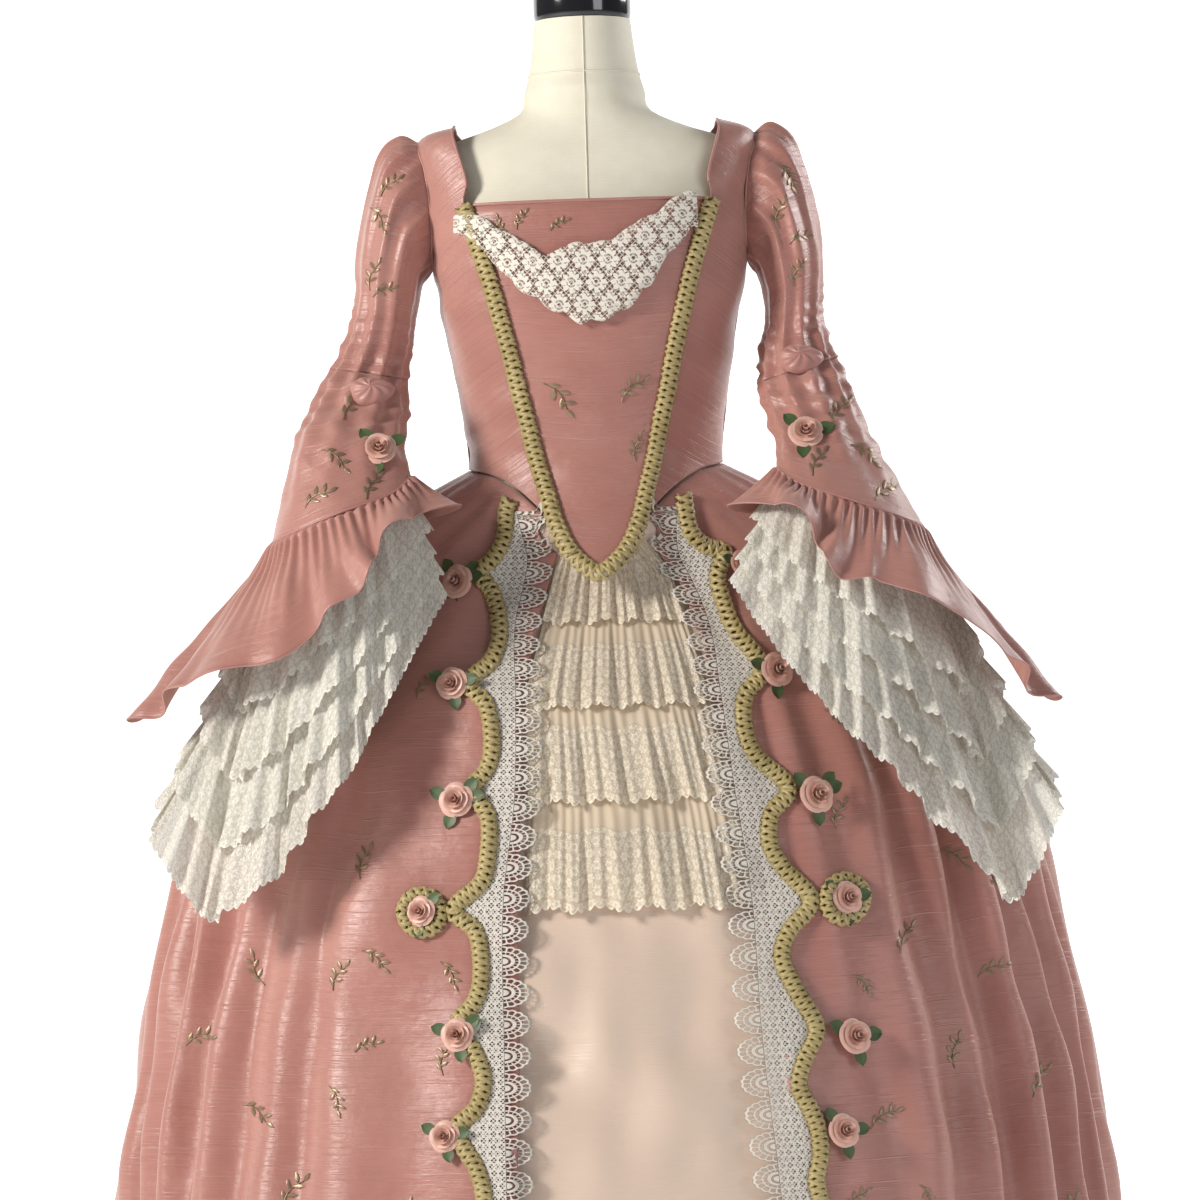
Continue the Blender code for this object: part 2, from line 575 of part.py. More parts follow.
def front_edge_turn(side, z):
    """The turn of the overskirt's front edge at a height."""
    depth = curve_through(SKIRT[:, 0], SKIRT[:, 2], z)
    nearer = 1 - depth / EYE_DISTANCE
    seen_z = EYE_HEIGHT + (z - EYE_HEIGHT) / nearer
    x = np.interp(seen_z, FRONT_EDGE[:, 0], FRONT_EDGE[:, 1 if side < 0 else 2]) * nearer
    return skirt_turn(x, np.minimum(z + 10, WAIST_Z))


def overskirt_points(side, columns):
    """One overskirt front, from its front edge to the side seam."""
    share = SKIRT_ROWS
    t = np.linspace(0, 1, columns)
    z = 1000 + (HEM_Z - 1000) * share
    edge = np.where(share < 0.02, math.asin(42 / 127), front_edge_turn(side, z))
    end = math.radians(SIDE_SEAM_DEG) - 0.001
    angle = edge[:, None] + (end - edge[:, None]) * t[None, :] ** 0.95
    return overskirt_point(side * angle, np.broadcast_to(share[:, None], angle.shape))


def build_overskirt():
    """Overskirt fronts and back, walls inside the outer face."""
    fronts = []
    for side, word in ((-1, "left"), (1, "right")):
        fronts.append(overskirt_points(side, 25))
        wall(f"overskirt_{word}", fronts[-1], "pink_silk")
    FACETS["overskirt"] = Facets(*fronts)
    angle = np.radians(np.linspace(SIDE_SEAM_DEG + 0.15, 360 - SIDE_SEAM_DEG - 0.15, 31))
    share = SKIRT_ROWS[[0, 1, 2, 4, 5, 6, 7, 8, 9]]
    grid = overskirt_point(*np.broadcast_arrays(angle, share[:, None]))
    wall("overskirt_back", grid, "pink_silk")


def as_seen(points):
    """Points whose x and height were read from the front, moved to where they are at their own depth."""
    points = np.array(points, float)
    nearer = 1 + points[..., 1] / EYE_DISTANCE
    points[..., 0] *= nearer
    points[..., 2] = EYE_HEIGHT + (points[..., 2] - EYE_HEIGHT) * nearer
    return points


def petticoat_point(angle, share):
    """The petticoat's face: inside the overskirt, further in at the sides, where the folds reach in."""
    top = seam_height(angle) - SKIRT_GAP
    z = top + (HEM_Z - top) * share
    face = overskirt_smooth(angle, z, top)
    turn = np.degrees(np.abs((angle + np.pi) % (2 * np.pi) - np.pi))
    inset = FRONT_INSET + (SIDE_INSET - FRONT_INSET) * smooth_step((turn - FRONT_TURN) / 10)
    drop = smooth_step((top - z) / 90)
    inset = PETTICOAT_TOP_INSET + (inset - PETTICOAT_TOP_INSET) * drop
    out = np.stack([np.sin(angle), -np.cos(angle), np.zeros_like(angle)], axis=-1)
    return face - inset[..., None] * out


def smooth_step(t):
    """0 below 0, 1 above 1, smooth between."""
    t = np.clip(t, 0, 1)
    return t * t * (3 - 2 * t)


def build_petticoat():
    """The petticoat's front and back, with four ruffles on the front."""
    turn = math.radians(FRONT_TURN)
    angle = np.linspace(-turn, turn, 11)
    front = petticoat_point(*np.broadcast_arrays(angle, SKIRT_ROWS[:, None]))
    wall("petticoat_front", front, "cream_satin")
    FACETS["petticoat"] = Facets(front)
    angle = np.linspace(turn + 0.004, 2 * np.pi - turn - 0.004, 17)
    wall("petticoat_back", petticoat_point(*np.broadcast_arrays(angle, SKIRT_ROWS[:, None])), "cream_satin")
    for number, ruffle in enumerate(RUFFLES, 1):
        wall(f"petticoat_ruffle_{number}", ruffle_points(ruffle, 3, 21), "cream_lace")


def ruffle_points(ruffle, rows, columns):
    """A gathered ruffle between the overskirt's front edges, standing out more towards its hem."""
    top_z, hem_z, waves, deep = ruffle
    v = np.linspace(0, 1, rows)[:, None]
    s = np.linspace(0, 1, columns)[None, :]
    z = top_z + (hem_z - top_z) * v
    left, right = -front_edge_turn(-1, z), front_edge_turn(1, z)
    angle = left + RUFFLE_SIDE_GAP + (right - left - 2 * RUFFLE_SIDE_GAP) * s
    z = z + 0 * s
    seam = seam_height(angle) - SKIRT_GAP
    face = petticoat_point(angle, (seam - z) / (seam - HEM_Z))
    face = FACETS["petticoat"].under(face[..., 0], z)
    wave = deep * v * (0.5 + 0.5 * np.cos(2 * np.pi * waves * s)) * np.sin(np.pi * s) ** 0.5
    stand = (ON_TOP + CLOTH) / MM + 0.3 + 5.0 * v + wave
    out = np.stack([np.sin(angle), -np.cos(angle), np.zeros_like(angle)], axis=-1)
    return face + stand[..., None] * out


class Facets:
    """A panel's flat facets, for laying trims on it."""

    def __init__(self, *grids):
        corners, faces = [], []
        for grid in grids:
            rows, columns = grid.shape[:2]
            first = len(corners)
            corners += [Vector(p) for p in grid.reshape(-1, 3)]
            for j in range(rows - 1):
                for i in range(columns - 1):
                    k = first + j * columns + i
                    faces += [(k, k + 1, k + columns + 1), (k, k + columns + 1, k + columns)]
        self.tree = BVHTree.FromPolygons(corners, faces)

    def under(self, x, z, otherwise=None):
        """The foremost point of the panel at each x and height, or else the point given."""
        shape = np.broadcast(x, z).shape
        xs, zs = (np.broadcast_to(a, shape).ravel() for a in (x, z))
        found = []
        for i, (a, b) in enumerate(zip(xs, zs)):
            hit = self.tree.ray_cast(Vector((a, -2000, b)), Vector((0, 1, 0)))[0]
            if hit is None:
                nearest = self.tree.find_nearest(Vector((a, -150, b)))[0]
                hit = nearest if otherwise is None else otherwise.reshape(-1, 3)[i]
            found.append(tuple(hit))
        return np.array(found).reshape(*shape, 3)


FACETS = {}


def overskirt_place(side, x, z, out):
    """The overskirt's face at an x and height as seen, moved out."""
    depth = curve_through(SKIRT[:, 0], SKIRT[:, 2], z)
    nearer = 1 - depth / EYE_DISTANCE
    z = EYE_HEIGHT + (z - EYE_HEIGHT) * nearer
    x = x * nearer
    angle = skirt_turn(x, z)
    for _ in range(4):
        top = seam_height(angle) - SKIRT_GAP
        found = overskirt_point(angle, (top - z) / (top - HEM_Z))
        angle = angle * np.clip(x / np.maximum(np.abs(found[..., 0]), 1), 0.5, 1.5)
    smooth = overskirt_point(side * angle, (top - z) / (top - HEM_Z))
    face = FACETS["overskirt"].under(side * x, z, otherwise=smooth)
    away = np.stack([side * np.sin(angle), -np.cos(angle), 0.25 + 0 * angle], axis=-1)
    return face + out * away


def strip(name, lower, upper, across, finish, closed=False):
    """A flat braid of four sides: lower and upper are its middle lines, across its half-width vectors."""
    made = bmesh.new()
    loops = []
    for low, high, half in zip(lower * MM, upper * MM, across * MM):
        around = (low - half, low + half, high + BRAID_TOP * half, high - BRAID_TOP * half)
        loops.append([made.verts.new(p) for p in around])
    runs = list(zip(loops, loops[1:])) + ([(loops[-1], loops[0])] if closed else [])
    for a, b in runs:
        for i in range(4):
            k = (i + 1) % 4
            made.faces.new((a[i], a[k], b[k], b[i]))
    if not closed:
        made.faces.new(list(reversed(loops[0])))
        made.faces.new(loops[-1])
    bmesh.ops.recalc_face_normals(made, faces=made.faces)
    mesh = bpy.data.meshes.new(name)
    made.to_mesh(mesh)
    made.free()
    return add_object(name, mesh, finish)


def smooth_line(points, count):
    """A smooth line through points, evenly spaced."""
    points = np.asarray(points, float)
    at = np.linspace(0, len(points) - 1, 12 * len(points))
    index = np.arange(len(points))
    return along(np.stack([curve_through(index, points[:, k], at) for k in (0, 1)], axis=-1), count)


def braid_across(line, place):
    """Half-width vectors of a braid on a surface, square to its line."""
    step = np.gradient(line, axis=0)
    step /= np.linalg.norm(step, axis=1, keepdims=True)
    beside = np.stack([-step[:, 1], step[:, 0]], axis=-1) * BRAID_WIDTH / 2
    return (place(line + beside) - place(line - beside)) / 2


def build_overskirt_trim():
    """Braid, braid rings, white lace edging and roses of the overskirt fronts."""
    for side, word, braid, ring, inner in (
        (-1, "left", BRAID_LEFT, RING_LEFT, EDGING_LEFT), (1, "right", BRAID_RIGHT, RING_RIGHT, EDGING_RIGHT)
    ):
        def place(line, out=0.0):
            return overskirt_place(side, line[:, 0], line[:, 1], out)

        line = smooth_line(braid, 54)
        low, high = place(line, BRAID_OUT), place(line, BRAID_OUT + BRAID_HEIGHT)
        strip(f"overskirt_braid_{word}", low, high, braid_across(line, place), "olive_braid")
        turn = np.linspace(0, 2 * np.pi, 14, endpoint=False)
        x, z, radius = ring
        loop = np.stack([x + radius * np.cos(turn), z + radius * np.sin(turn)], axis=-1)
        beside = np.stack([np.cos(turn), np.sin(turn)], axis=-1) * (BRAID_WIDTH / 2 - 0.8)
        across = (place(loop + beside) - place(loop - beside)) / 2
        strip(f"overskirt_ring_{word}", place(loop, RING_OUT), place(loop, RING_OUT + BRAID_HEIGHT), across,
              "olive_braid", closed=True)
        edging(side, word, line, np.array(inner, float))


def edging(side, word, braid_line, inner):
    """White lace from the braid's inner side to its scalloped edge, with its larger gaps cut through."""
    x = braid_line[:, 0]
    outer = braid_line[1:-1].copy()
    outer[:, 0] = np.minimum(np.minimum(x[:-2], x[2:]), x[1:-1]) - BRAID_WIDTH * 0.9
    count = int((inner[0, 1] - inner[-1, 1]) / LOOP_PITCH)
    z = inner[0, 1] - LOOP_PITCH * np.arange(count + 1)
    x = np.interp(z, inner[::-1, 1], inner[::-1, 0]) + 0.4 * LOOP_DEEP
    cusps = np.stack([x, z], axis=-1)
    outline = list(outer[::2]) + scalloped(cusps[::-1], LOOP_DEEP)
    holes = []
    for a, b in (cusps[:-1] + cusps[1:]) / 2:
        room = np.interp(b, outer[::-1, 1], outer[::-1, 0]) - a
        if room > 18:
            holes.append([(a + 3 + 9.5 * math.cos(t), b + 5.5 * math.sin(t)) for t in PENTAGON])
    cut_sheet(f"overskirt_lace_{word}", outline, holes,
              lambda flat, out: overskirt_place(side, flat[:, 0], flat[:, 1], out),
              EDGING_OUT, "white_lace")


def scalloped(points, deep):
    """A line with a lobe between each two of its points, on the left of its way."""
    line = [tuple(points[0])]
    for a, b in zip(points, points[1:]):
        step = np.subtract(b, a)
        beside = np.array([-step[1], step[0]]) / np.linalg.norm(step) * deep
        for share, reach in LOBE:
            line.append(tuple(a + step * share + beside * reach))
        line.append(tuple(b))
    return line


def inside(point, rings):
    """True if a flat point lies in the outline and in no hole."""
    crossings = 0
    for ring in rings:
        for (ax, az), (bx, bz) in zip(ring, [*ring[1:], ring[0]]):
            if (az > point[1]) != (bz > point[1]):
                crossings += point[0] < ax + (point[1] - az) * (bx - ax) / (bz - az)
    return crossings % 2 == 1


def cut_sheet(name, outline, holes, place, out, finish, grain=46.0):
    """A flat outline with holes, filled and laid on a surface as a wall, a distance out from it."""
    rings = [outline] + holes
    points, edges = [], []
    for ring in rings:
        first = len(points)
        points += [Vector(p) for p in ring]
        edges += [(first + k, first + (k + 1) % len(ring)) for k in range(len(ring))]
    low, high = np.min(outline, axis=0), np.max(outline, axis=0)
    for x in np.arange(low[0], high[0], grain):
        for z in np.arange(low[1], high[1], grain):
            near = min(math.dist((x, z), p) for ring in rings for p in ring)
            if near > 0.3 * grain and inside((x, z), rings):
                points.append(Vector((x, z)))
    spots, _, faces, _, _, _ = delaunay_2d_cdt(points, edges, [], 0, 0.01)
    made = bmesh.new()
    corners = [made.verts.new((p.x, p.y, 0)) for p in spots]
    for face in faces:
        middle = sum((spots[k] for k in face), Vector((0, 0))) / len(face)
        if inside(middle, rings):
            made.faces.new([corners[k] for k in face])
    loose = [v for v in made.verts if not v.link_faces]
    bmesh.ops.delete(made, geom=loose, context="VERTS")
    flat = np.array([v.co[:2] for v in made.verts])
    back, front = place(flat, out) * MM, place(flat, out + LACE_WALL / MM) * MM
    base = list(made.verts)
    made.verts.index_update()
    grown = bmesh.ops.extrude_face_region(made, geom=list(made.faces), use_keep_orig=True)
    lifted = [g for g in grown["geom"] if isinstance(g, bmesh.types.BMVert)]
    nearest = {tuple(v.co): k for k, v in enumerate(base)}
    order = [nearest[tuple(v.co)] for v in lifted]
    for v, k in zip(lifted, order):
        v.co = front[k]
    for v, k in zip(base, range(len(base))):
        v.co = back[k]
    bmesh.ops.recalc_face_normals(made, faces=made.faces)
    mesh = bpy.data.meshes.new(name)
    made.to_mesh(mesh)
    made.free()
    add_object(name, mesh, finish)


def build_stomacher_trim():
    """Braid down both sides of the stomacher and round its tip, and the white lace below the neckline."""
    half = [(half, z) for z, half in STOMACHER[1:]]
    path = [(-a, b) for a, b in reversed(half)] + [(0, 940)] + half
    line = smooth_line(path, 35)

    def place(flat, out=0.0):
        smooth = on_body(front_at(flat[:, 0], flat[:, 1]))
        away = on_body(front_at(flat[:, 0], flat[:, 1]), 1.0) - smooth
        return FACETS["bodice"].under(flat[:, 0], flat[:, 1], otherwise=smooth) + out * away

    strip("stomacher_braid", place(line, STOMACHER_BRAID_OUT),
          place(line, STOMACHER_BRAID_OUT + BRAID_HEIGHT), braid_across(line, place),
          "olive_braid")
    scallops = scalloped(np.array(BODICE_LACE_BOTTOM, float), 6.0)
    holes = [[(x + 3.4 * math.cos(t), z + 3.2 * math.sin(t)) for t in HEXAGON]
             for x, z in BODICE_LACE_HOLES]
    cut_sheet("bodice_lace", BODICE_LACE_TOP + scallops, holes,
              place, BODICE_LACE_OUT, "white_lace", grain=30.0)


def build_roses():
    """Satin roses: flattened round solids on the braid."""
    stand = RING_OUT + BRAID_HEIGHT + ROSE_GAP
    for number, (side, x, z, radius) in enumerate(SKIRT_ROSES, 1):
        low = overskirt_place(side, np.array([float(x)]), np.array([float(z)]), stand)[0]
        out = overskirt_place(side, np.array([float(x)]), np.array([float(z)]), 40.0)[0] - low
        rose(f"rose_skirt_{number:02d}", low, out / np.linalg.norm(out), radius)


def rose(name, back, out, radius):
    """One rose with its flat back at a point, facing out."""
    made = bmesh.new()
    bmesh.ops.create_icosphere(made, subdivisions=1, radius=radius * MM)
    bmesh.ops.scale(made, vec=(1, 1, ROSE_DEEP), verts=made.verts)
    mesh = bpy.data.meshes.new(name)
    made.to_mesh(mesh)
    made.free()
    mesh.shade_smooth()
    obj = add_object(name, mesh, "rose_satin")
    obj.rotation_mode = "QUATERNION"
    obj.rotation_quaternion = Vector(out).to_track_quat("Z", "Y")
    obj.location = (back + out * radius * ROSE_DEEP) * MM


def station_ring(station, columns):
    """A sleeve's ring through its outer and inner points, with pleats."""
    outer_x, outer_z, inner_x, inner_z, middle, deep, pleat = station
    turn = np.linspace(0, 2 * np.pi, columns, endpoint=False)
    centre = np.array([(outer_x + inner_x) / 2, middle, (outer_z + inner_z) / 2])
    arm = np.array([(outer_x - inner_x) / 2, 0, (outer_z - inner_z) / 2])
    reach = np.linalg.norm(arm)
    fold = pleat * np.cos(columns / 2 * turn)
    points = (centre + arm * ((1 + fold / reach) * np.cos(turn))[:, None]
              + np.array([0, -1, 0]) * ((deep + fold) * np.sin(turn))[:, None])
    return as_seen(points)


def armhole_ring(columns):
    """The sleeve head's ring, just outside the bodice's armhole edge."""
    turn = np.linspace(0, 2, columns, endpoint=False)
    edge = armhole_edge(np.clip(1 - turn, -0.985, 0.985))
    return on_body(edge) + (HEAD_GAP, 0, 0)


def cuff_ring(word, count, inset=0.0):
    """The cuff seam, from the inner point round the front."""
    u = np.arange(count) / count
    ring = ring_through(as_seen(CUFF[word]), u)
    away = ring - ring.mean(axis=0)
    return ring - inset * away / np.linalg.norm(away, axis=1, keepdims=True)


def build_sleeve(side, word):
    """Upper and lower sleeve, elbow knot, flounce and four lace tiers of one arm."""
    flip = np.array([side, 1, 1])
    upper = np.array([armhole_ring(SLEEVE_COLUMNS)] + [station_ring(s, SLEEVE_COLUMNS) for s in SLEEVE[word]])
    wall(f"sleeve_upper_{word}", upper * flip, "pink_silk", round_it=True)
    lower = [upper[-1] - ELBOW_GAP] + [station_ring(s, SLEEVE_COLUMNS) for s in LOWER_SLEEVE[word]]
    end = np.roll(cuff_ring(word, SLEEVE_COLUMNS)[::-1], SLEEVE_COLUMNS // 2 + 1, axis=0) + CUFF_GAP
    wall(f"sleeve_lower_{word}", np.array(lower + [end]) * flip, "pink_silk", round_it=True)
    wall(f"sleeve_flounce_{word}", flounce_points(word, 4, FLOUNCE_COLUMNS) * flip, "pink_silk", round_it=True)
    for number, tier in enumerate(LACE_TIERS, 1):
        wall(f"sleeve_lace_{word}_{number}", lace_points(word, tier, LACE_COLUMNS) * flip, "ivory_lace",
             thick=LACE_WALL, round_it=True)
    x, z, radius = SLEEVE_ROSES[word]
    knot_x, knot_z = ELBOW_KNOT[word]
    rings = np.array(lower)
    facets = Facets(np.concatenate([rings, rings[:, :1]], axis=1))
    for name, a, b, size in ((f"rose_sleeve_{word}", x, z, radius), (f"elbow_knot_{word}", knot_x, knot_z, 15)):
        out = np.array([0, -0.86, 0.5])
        face = facets.under(np.array(float(a)), np.array(float(b)))
        rose(name, (face + out * 3.0) * flip, out, size)


def hanging(ring_top, ring_hem, share):
    """A cloth tube from one ring to another, and the level ways out of it."""
    share = share[:, None, None]
    tube = ring_top[None] * (1 - share) + ring_hem[None] * share
    away = ring_top + ring_hem
    away = away - away.mean(axis=0)
    away[..., 2] = 0
    away = (away / np.linalg.norm(away, axis=1, keepdims=True))[None]
    return tube, away


def flounce_points(word, rows, columns):
    """The pink flounce, with ruffle waves that grow to its hem."""
    u = np.arange(columns) / columns
    top = cuff_ring(word, columns)
    hem = ring_through(as_seen(FLOUNCE_HEM[word]), u)
    share = np.linspace(0, 1, rows)
    tube, away = hanging(top, hem, share)
    wave = FLOUNCE_WAVE * np.cos(2 * np.pi * CUFF_WAVES * u)[None, :] * (share**1.2)[:, None]
    return tube + wave[..., None] * away


def lace_points(word, tier, columns):
    """One lace tier: its head lies under the tier above and its hem stands over the one below."""
    u = np.arange(columns) / columns
    top = cuff_ring(word, columns, inset=(CLOTH + ON_TOP) / MM + 0.8) - (0, 0, 2.0)
    hem = ring_through(as_seen(LACE_HEM[word]), u)
    shares = np.array(LACE_ROWS)
    tube, away = hanging(top, hem, shares)
    around = np.roll(tube, -1, axis=1) - np.roll(tube, 1, axis=1)
    normal = np.cross(around, np.gradient(tube, axis=0))
    normal /= np.linalg.norm(normal, axis=2, keepdims=True)
    for _ in range(columns // NORMAL_BLUR):
        normal = (np.roll(normal, 1, axis=1) + 2 * normal + np.roll(normal, -1, axis=1)) / 4
    normal /= np.linalg.norm(normal, axis=2, keepdims=True)
    normal *= np.sign((normal * away).sum())
    fall = np.linalg.norm(hem - top, axis=1) / LONG_FALL
    wave = LACE_WAVE * np.clip(fall, 0, 1) ** 2 * np.cos(2 * np.pi * LACE_WAVES * u) * shares[:, None]
    tube = tube + wave[..., None] * normal
    flare = TIER_STEP * np.array([-1.0, 0.0, 1.0])[:, None]
    rows = [LACE_ROWS.index(share) for share in tier]
    return tube[rows] + flare[..., None] * normal[rows]


def main():
    """Build every piece of the gown and its form."""
    empty_scene()
    new_collection("ball_gown")
    build_form()
    build_bodice()
    build_overskirt()
    build_petticoat()
    build_overskirt_trim()
    build_stomacher_trim()
    build_roses()
    build_sleeve(-1, "left")
    build_sleeve(1, "right")


main()
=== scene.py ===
"""Looks of the ball gown on its dress form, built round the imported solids.

The cloth is drawn finer than the solids from the same sections, and all sizes in the tables are in
millimetres. Front is -Y.
"""

from __future__ import annotations

import json
import logging
import math
from collections.abc import Callable
from dataclasses import dataclass, field
from enum import Enum
from typing import Union

import bpy
import numpy as np
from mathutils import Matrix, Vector
from mathutils.bvhtree import BVHTree

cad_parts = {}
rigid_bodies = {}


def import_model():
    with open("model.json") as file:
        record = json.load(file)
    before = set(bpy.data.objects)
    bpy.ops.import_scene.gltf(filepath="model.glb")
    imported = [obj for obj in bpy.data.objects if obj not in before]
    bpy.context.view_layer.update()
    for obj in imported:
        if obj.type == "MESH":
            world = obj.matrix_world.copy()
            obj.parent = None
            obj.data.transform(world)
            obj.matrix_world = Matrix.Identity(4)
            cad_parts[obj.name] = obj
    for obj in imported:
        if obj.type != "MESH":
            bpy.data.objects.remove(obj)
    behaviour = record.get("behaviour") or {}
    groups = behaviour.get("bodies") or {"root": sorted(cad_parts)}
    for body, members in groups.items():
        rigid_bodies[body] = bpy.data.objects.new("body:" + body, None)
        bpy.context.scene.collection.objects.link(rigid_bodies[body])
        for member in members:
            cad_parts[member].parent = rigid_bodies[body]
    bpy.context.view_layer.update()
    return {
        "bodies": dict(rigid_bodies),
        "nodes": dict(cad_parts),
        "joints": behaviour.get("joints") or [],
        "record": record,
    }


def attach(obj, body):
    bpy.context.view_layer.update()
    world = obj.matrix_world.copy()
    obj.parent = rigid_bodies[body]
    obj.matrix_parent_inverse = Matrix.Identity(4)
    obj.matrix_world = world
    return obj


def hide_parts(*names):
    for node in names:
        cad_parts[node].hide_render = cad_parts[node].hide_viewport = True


log = logging.getLogger("ball_gown")

Socket = bpy.types.NodeSocket
Value = Union[Socket, float, tuple]

MM = 0.001

CLOTH = 1.5 * MM  # wall of silk, satin and gathered lace
SEAM = 0.3 * MM  # gap between pieces that are sewn together
ON_TOP = 0.4 * MM  # gap under a trim that lies on a panel
WAIST_Z = 1050.0
WAIST_HALF, WAIST_FRONT, WAIST_BACK = 127, 98, 88
UNDERARM_HALF = 156
OPENING_HALF = 42  # of the overskirt's opening, at the waist
FOLDS_START, FOLDS_GROW = 1000, 200  # height where the soft folds begin, and the drop to their full depth
NECKLINE_Z = 1306.0
TIP_Z = 941.0
UNDERARM_Z = 1250.0
BACK_NECK_Z = 1348.0
HEM_Z = 14.0
FORM_INSET, SHOULDER_INSET = 7.5, 14.0  # the dress form's skin under the bodice's outer face
SHOULDER_Z = 1340.0
ELBOW_GAP = (0, 0.6, 1.3)  # between the upper sleeve and the lower
SLEEVE_COLUMNS = 20
# Bodice and dress form sections: height, half width, depth to the front, depth to the back, squareness.
BODY = np.array([
    (930, 140, 164, 100, 2.0),
    (960, 138, 146, 98, 2.0),
    (1000, 134, 118, 94, 2.0),
    (1050, 127, 98, 88, 2.0),
    (1110, 133, 100, 88, 2.1),
    (1175, 143, 108, 92, 2.2),
    (1250, 156, 116, 94, 2.4),
    (1306, 163, 104, 90, 2.4),
    (1347, 169, 88, 80, 2.4),
    (1370, 171, 78, 72, 2.3),
    (1383, 158, 72, 68, 2.2),
    (1393, 128, 68, 65, 2.0),
    (1406, 95, 66, 63, 2.0),
    (1420, 68, 64, 62, 2.0),
], dtype=float)
# Dress form below the waist and in the neck: height, half width, front, back.
FORM_HIPS = [(890, 142, 92, 100), (900, 150, 98, 106), (960, 142, 96, 98), (1020, 126, 93, 88)]
FORM_NECK = [(1424, 60, 58, 56), (1437, 56, 53, 53), (1453, 53, 52, 52), (1494, 48, 48, 48)]
CAP_RADIUS, CAP_BOTTOM, CAP_TOP = 49.0, 1494.3, 1524.0
# Stomacher seam: height, half width.
STOMACHER = [(941, 2), (949, 15), (965, 29), (989, 40), (1020, 48), (1054, 57), (1092, 65), (1121, 72),
             (1160, 80), (1197, 89), (1229, 97), (1265, 108), (1306, 121)]
# Waist seam of the side fronts: half width, height.
TIP_ROWS = (950, 963, 980)  # heights of the stomacher's cross rows below and above the side fronts' point
SEAM_ROWS = (1000, 1022, 1048, 1080, 1120, 1165, 1210, 1260, NECKLINE_Z)
WAIST_SEAM = [(41, 991), (55, 1005), (78, 1027), (100, 1041), (127, 1050)]
# Armhole seen from the side: centre height, half height, half depth.
ARMHOLE = (1317.0, 67.0, 43.0)
STRAP_INNER, STRAP_OUTER = 131.0, 170.0
HEAD_GAP = 0.9  # the sleeve head's start outside the armhole edge
EYE_HEIGHT, EYE_DISTANCE = 915.0, 5000.0  # where the widths and heights marked "as seen" were seen from
# Skirt: height, half width, front depth, back depth.
SKIRT = np.array([
    (10, 524, 402, 505),
    (300, 504, 370, 452),
    (450, 485, 342, 408),
    (600, 452, 304, 362),
    (700, 427, 272, 330),
    (800, 390, 228, 292),
    (850, 358, 198, 262),
    (900, 320, 168, 226),
    (950, 272, 138, 186),
    (1000, 212, 114, 142),
    (1030, 165, 103, 112),
    (1050, 128, 98, 88.5),
], dtype=float)
SKIRT_SQUARE = 2.15
SKIRT_ROWS = np.array([0, 0.03, 0.065, 0.11, 0.165, 0.24, 0.36, 0.54, 0.76, 1.0])
SKIRT_GAP = 2.0  # under the bodice's lower edge
SEAM_FADE = 70.0  # below this drop the skirt no longer follows the waist seam's curve
SIDE_SEAM_DEG = 97.0
# Overskirt front edge: height, x on the left, x on the right.
FRONT_EDGE = np.array([
    (10, 100, 182), (315, 100, 176), (480, 92, 170), (600, 92, 154), (700, 85, 138), (815, 82, 112),
    (945, 56, 87), (992, 44, 56), (1002, 42, 46),
], dtype=float)
# Folds of the overskirt fronts: side, turn from the front in degrees at the hip and at the hem, how far
# the crease goes in, its half width in degrees, and the height where it fades out.
FOLDS = [
    (-1, 36, 37, 12, 3.0, 980), (-1, 47, 49, 20, 3.4, 900), (-1, 56, 61, 27, 3.4, 960),
    (-1, 66, 71, 30, 3.2, 930), (-1, 76, 80, 24, 3.2, 980), (-1, 88, 89, 22, 3.2, 1010),
    (1, 38, 42, 19, 3.2, 960), (1, 47, 54, 27, 3.2, 1000), (1, 57, 63, 30, 3.4, 950),
    (1, 67, 72, 24, 3.0, 900), (1, 77, 80, 27, 3.2, 990), (1, 88, 89, 22, 3.2, 1010),
]
BACK_FOLDS = [(107 + 18.25 * k, 24, 5.0) for k in range(9)]
# Braid on the overskirt: x and height where its line turns, cusps towards the side seam.
BRAID_LEFT = [(86, 1018), (90, 1006), (94, 978), (106, 958), (120, 945), (107, 925), (101, 887), (110, 857),
              (133, 836), (116, 812), (112, 773), (118, 748), (133, 728), (118, 700), (120, 659), (128, 634),
              (156, 608), (134, 585), (130, 542), (138, 514), (155, 494), (139, 465), (131, 437), (139, 409),
              (160, 386), (141, 350), (134, 318), (142, 285), (158, 262), (142, 235), (134, 200), (142, 168),
              (158, 140), (141, 110), (134, 78), (143, 45), (158, 18), (142, -12), (136, -35), (142, -52)]
BRAID_RIGHT = [(86, 1018), (87, 1005), (92, 980), (106, 966), (125, 958), (118, 935), (123, 909), (134, 880),
               (160, 842), (143, 815), (140, 787), (150, 755), (183, 720), (165, 695), (162, 666), (175, 640),
               (202, 606), (178, 575), (171, 548), (185, 515), (204, 477), (190, 445), (184, 420), (195, 396),
               (202, 376), (204, 350), (199, 324), (206, 292), (214, 262), (203, 230), (198, 200), (206, 168),
               (216, 140), (204, 110), (198, 78), (206, 45), (217, 18), (205, -12), (199, -35), (206, -52)]
RING_LEFT, RING_RIGHT = (187, 606, 19), (236, 606, 20)  # braid rings: x, height, radius
# Inner edge of the white lace edging: x and height, as seen.
EDGING_LEFT = [(60, 1008), (55, 985), (50, 955), (54, 935), (63, 900), (66, 815), (70, 720), (84, 620),
               (88, 470), (90, 315), (90, -52)]
EDGING_RIGHT = [(60, 1008), (57, 985), (60, 955), (70, 935), (84, 900), (97, 815), (108, 720), (121, 620),
                (128, 470), (142, 315), (154, -52)]
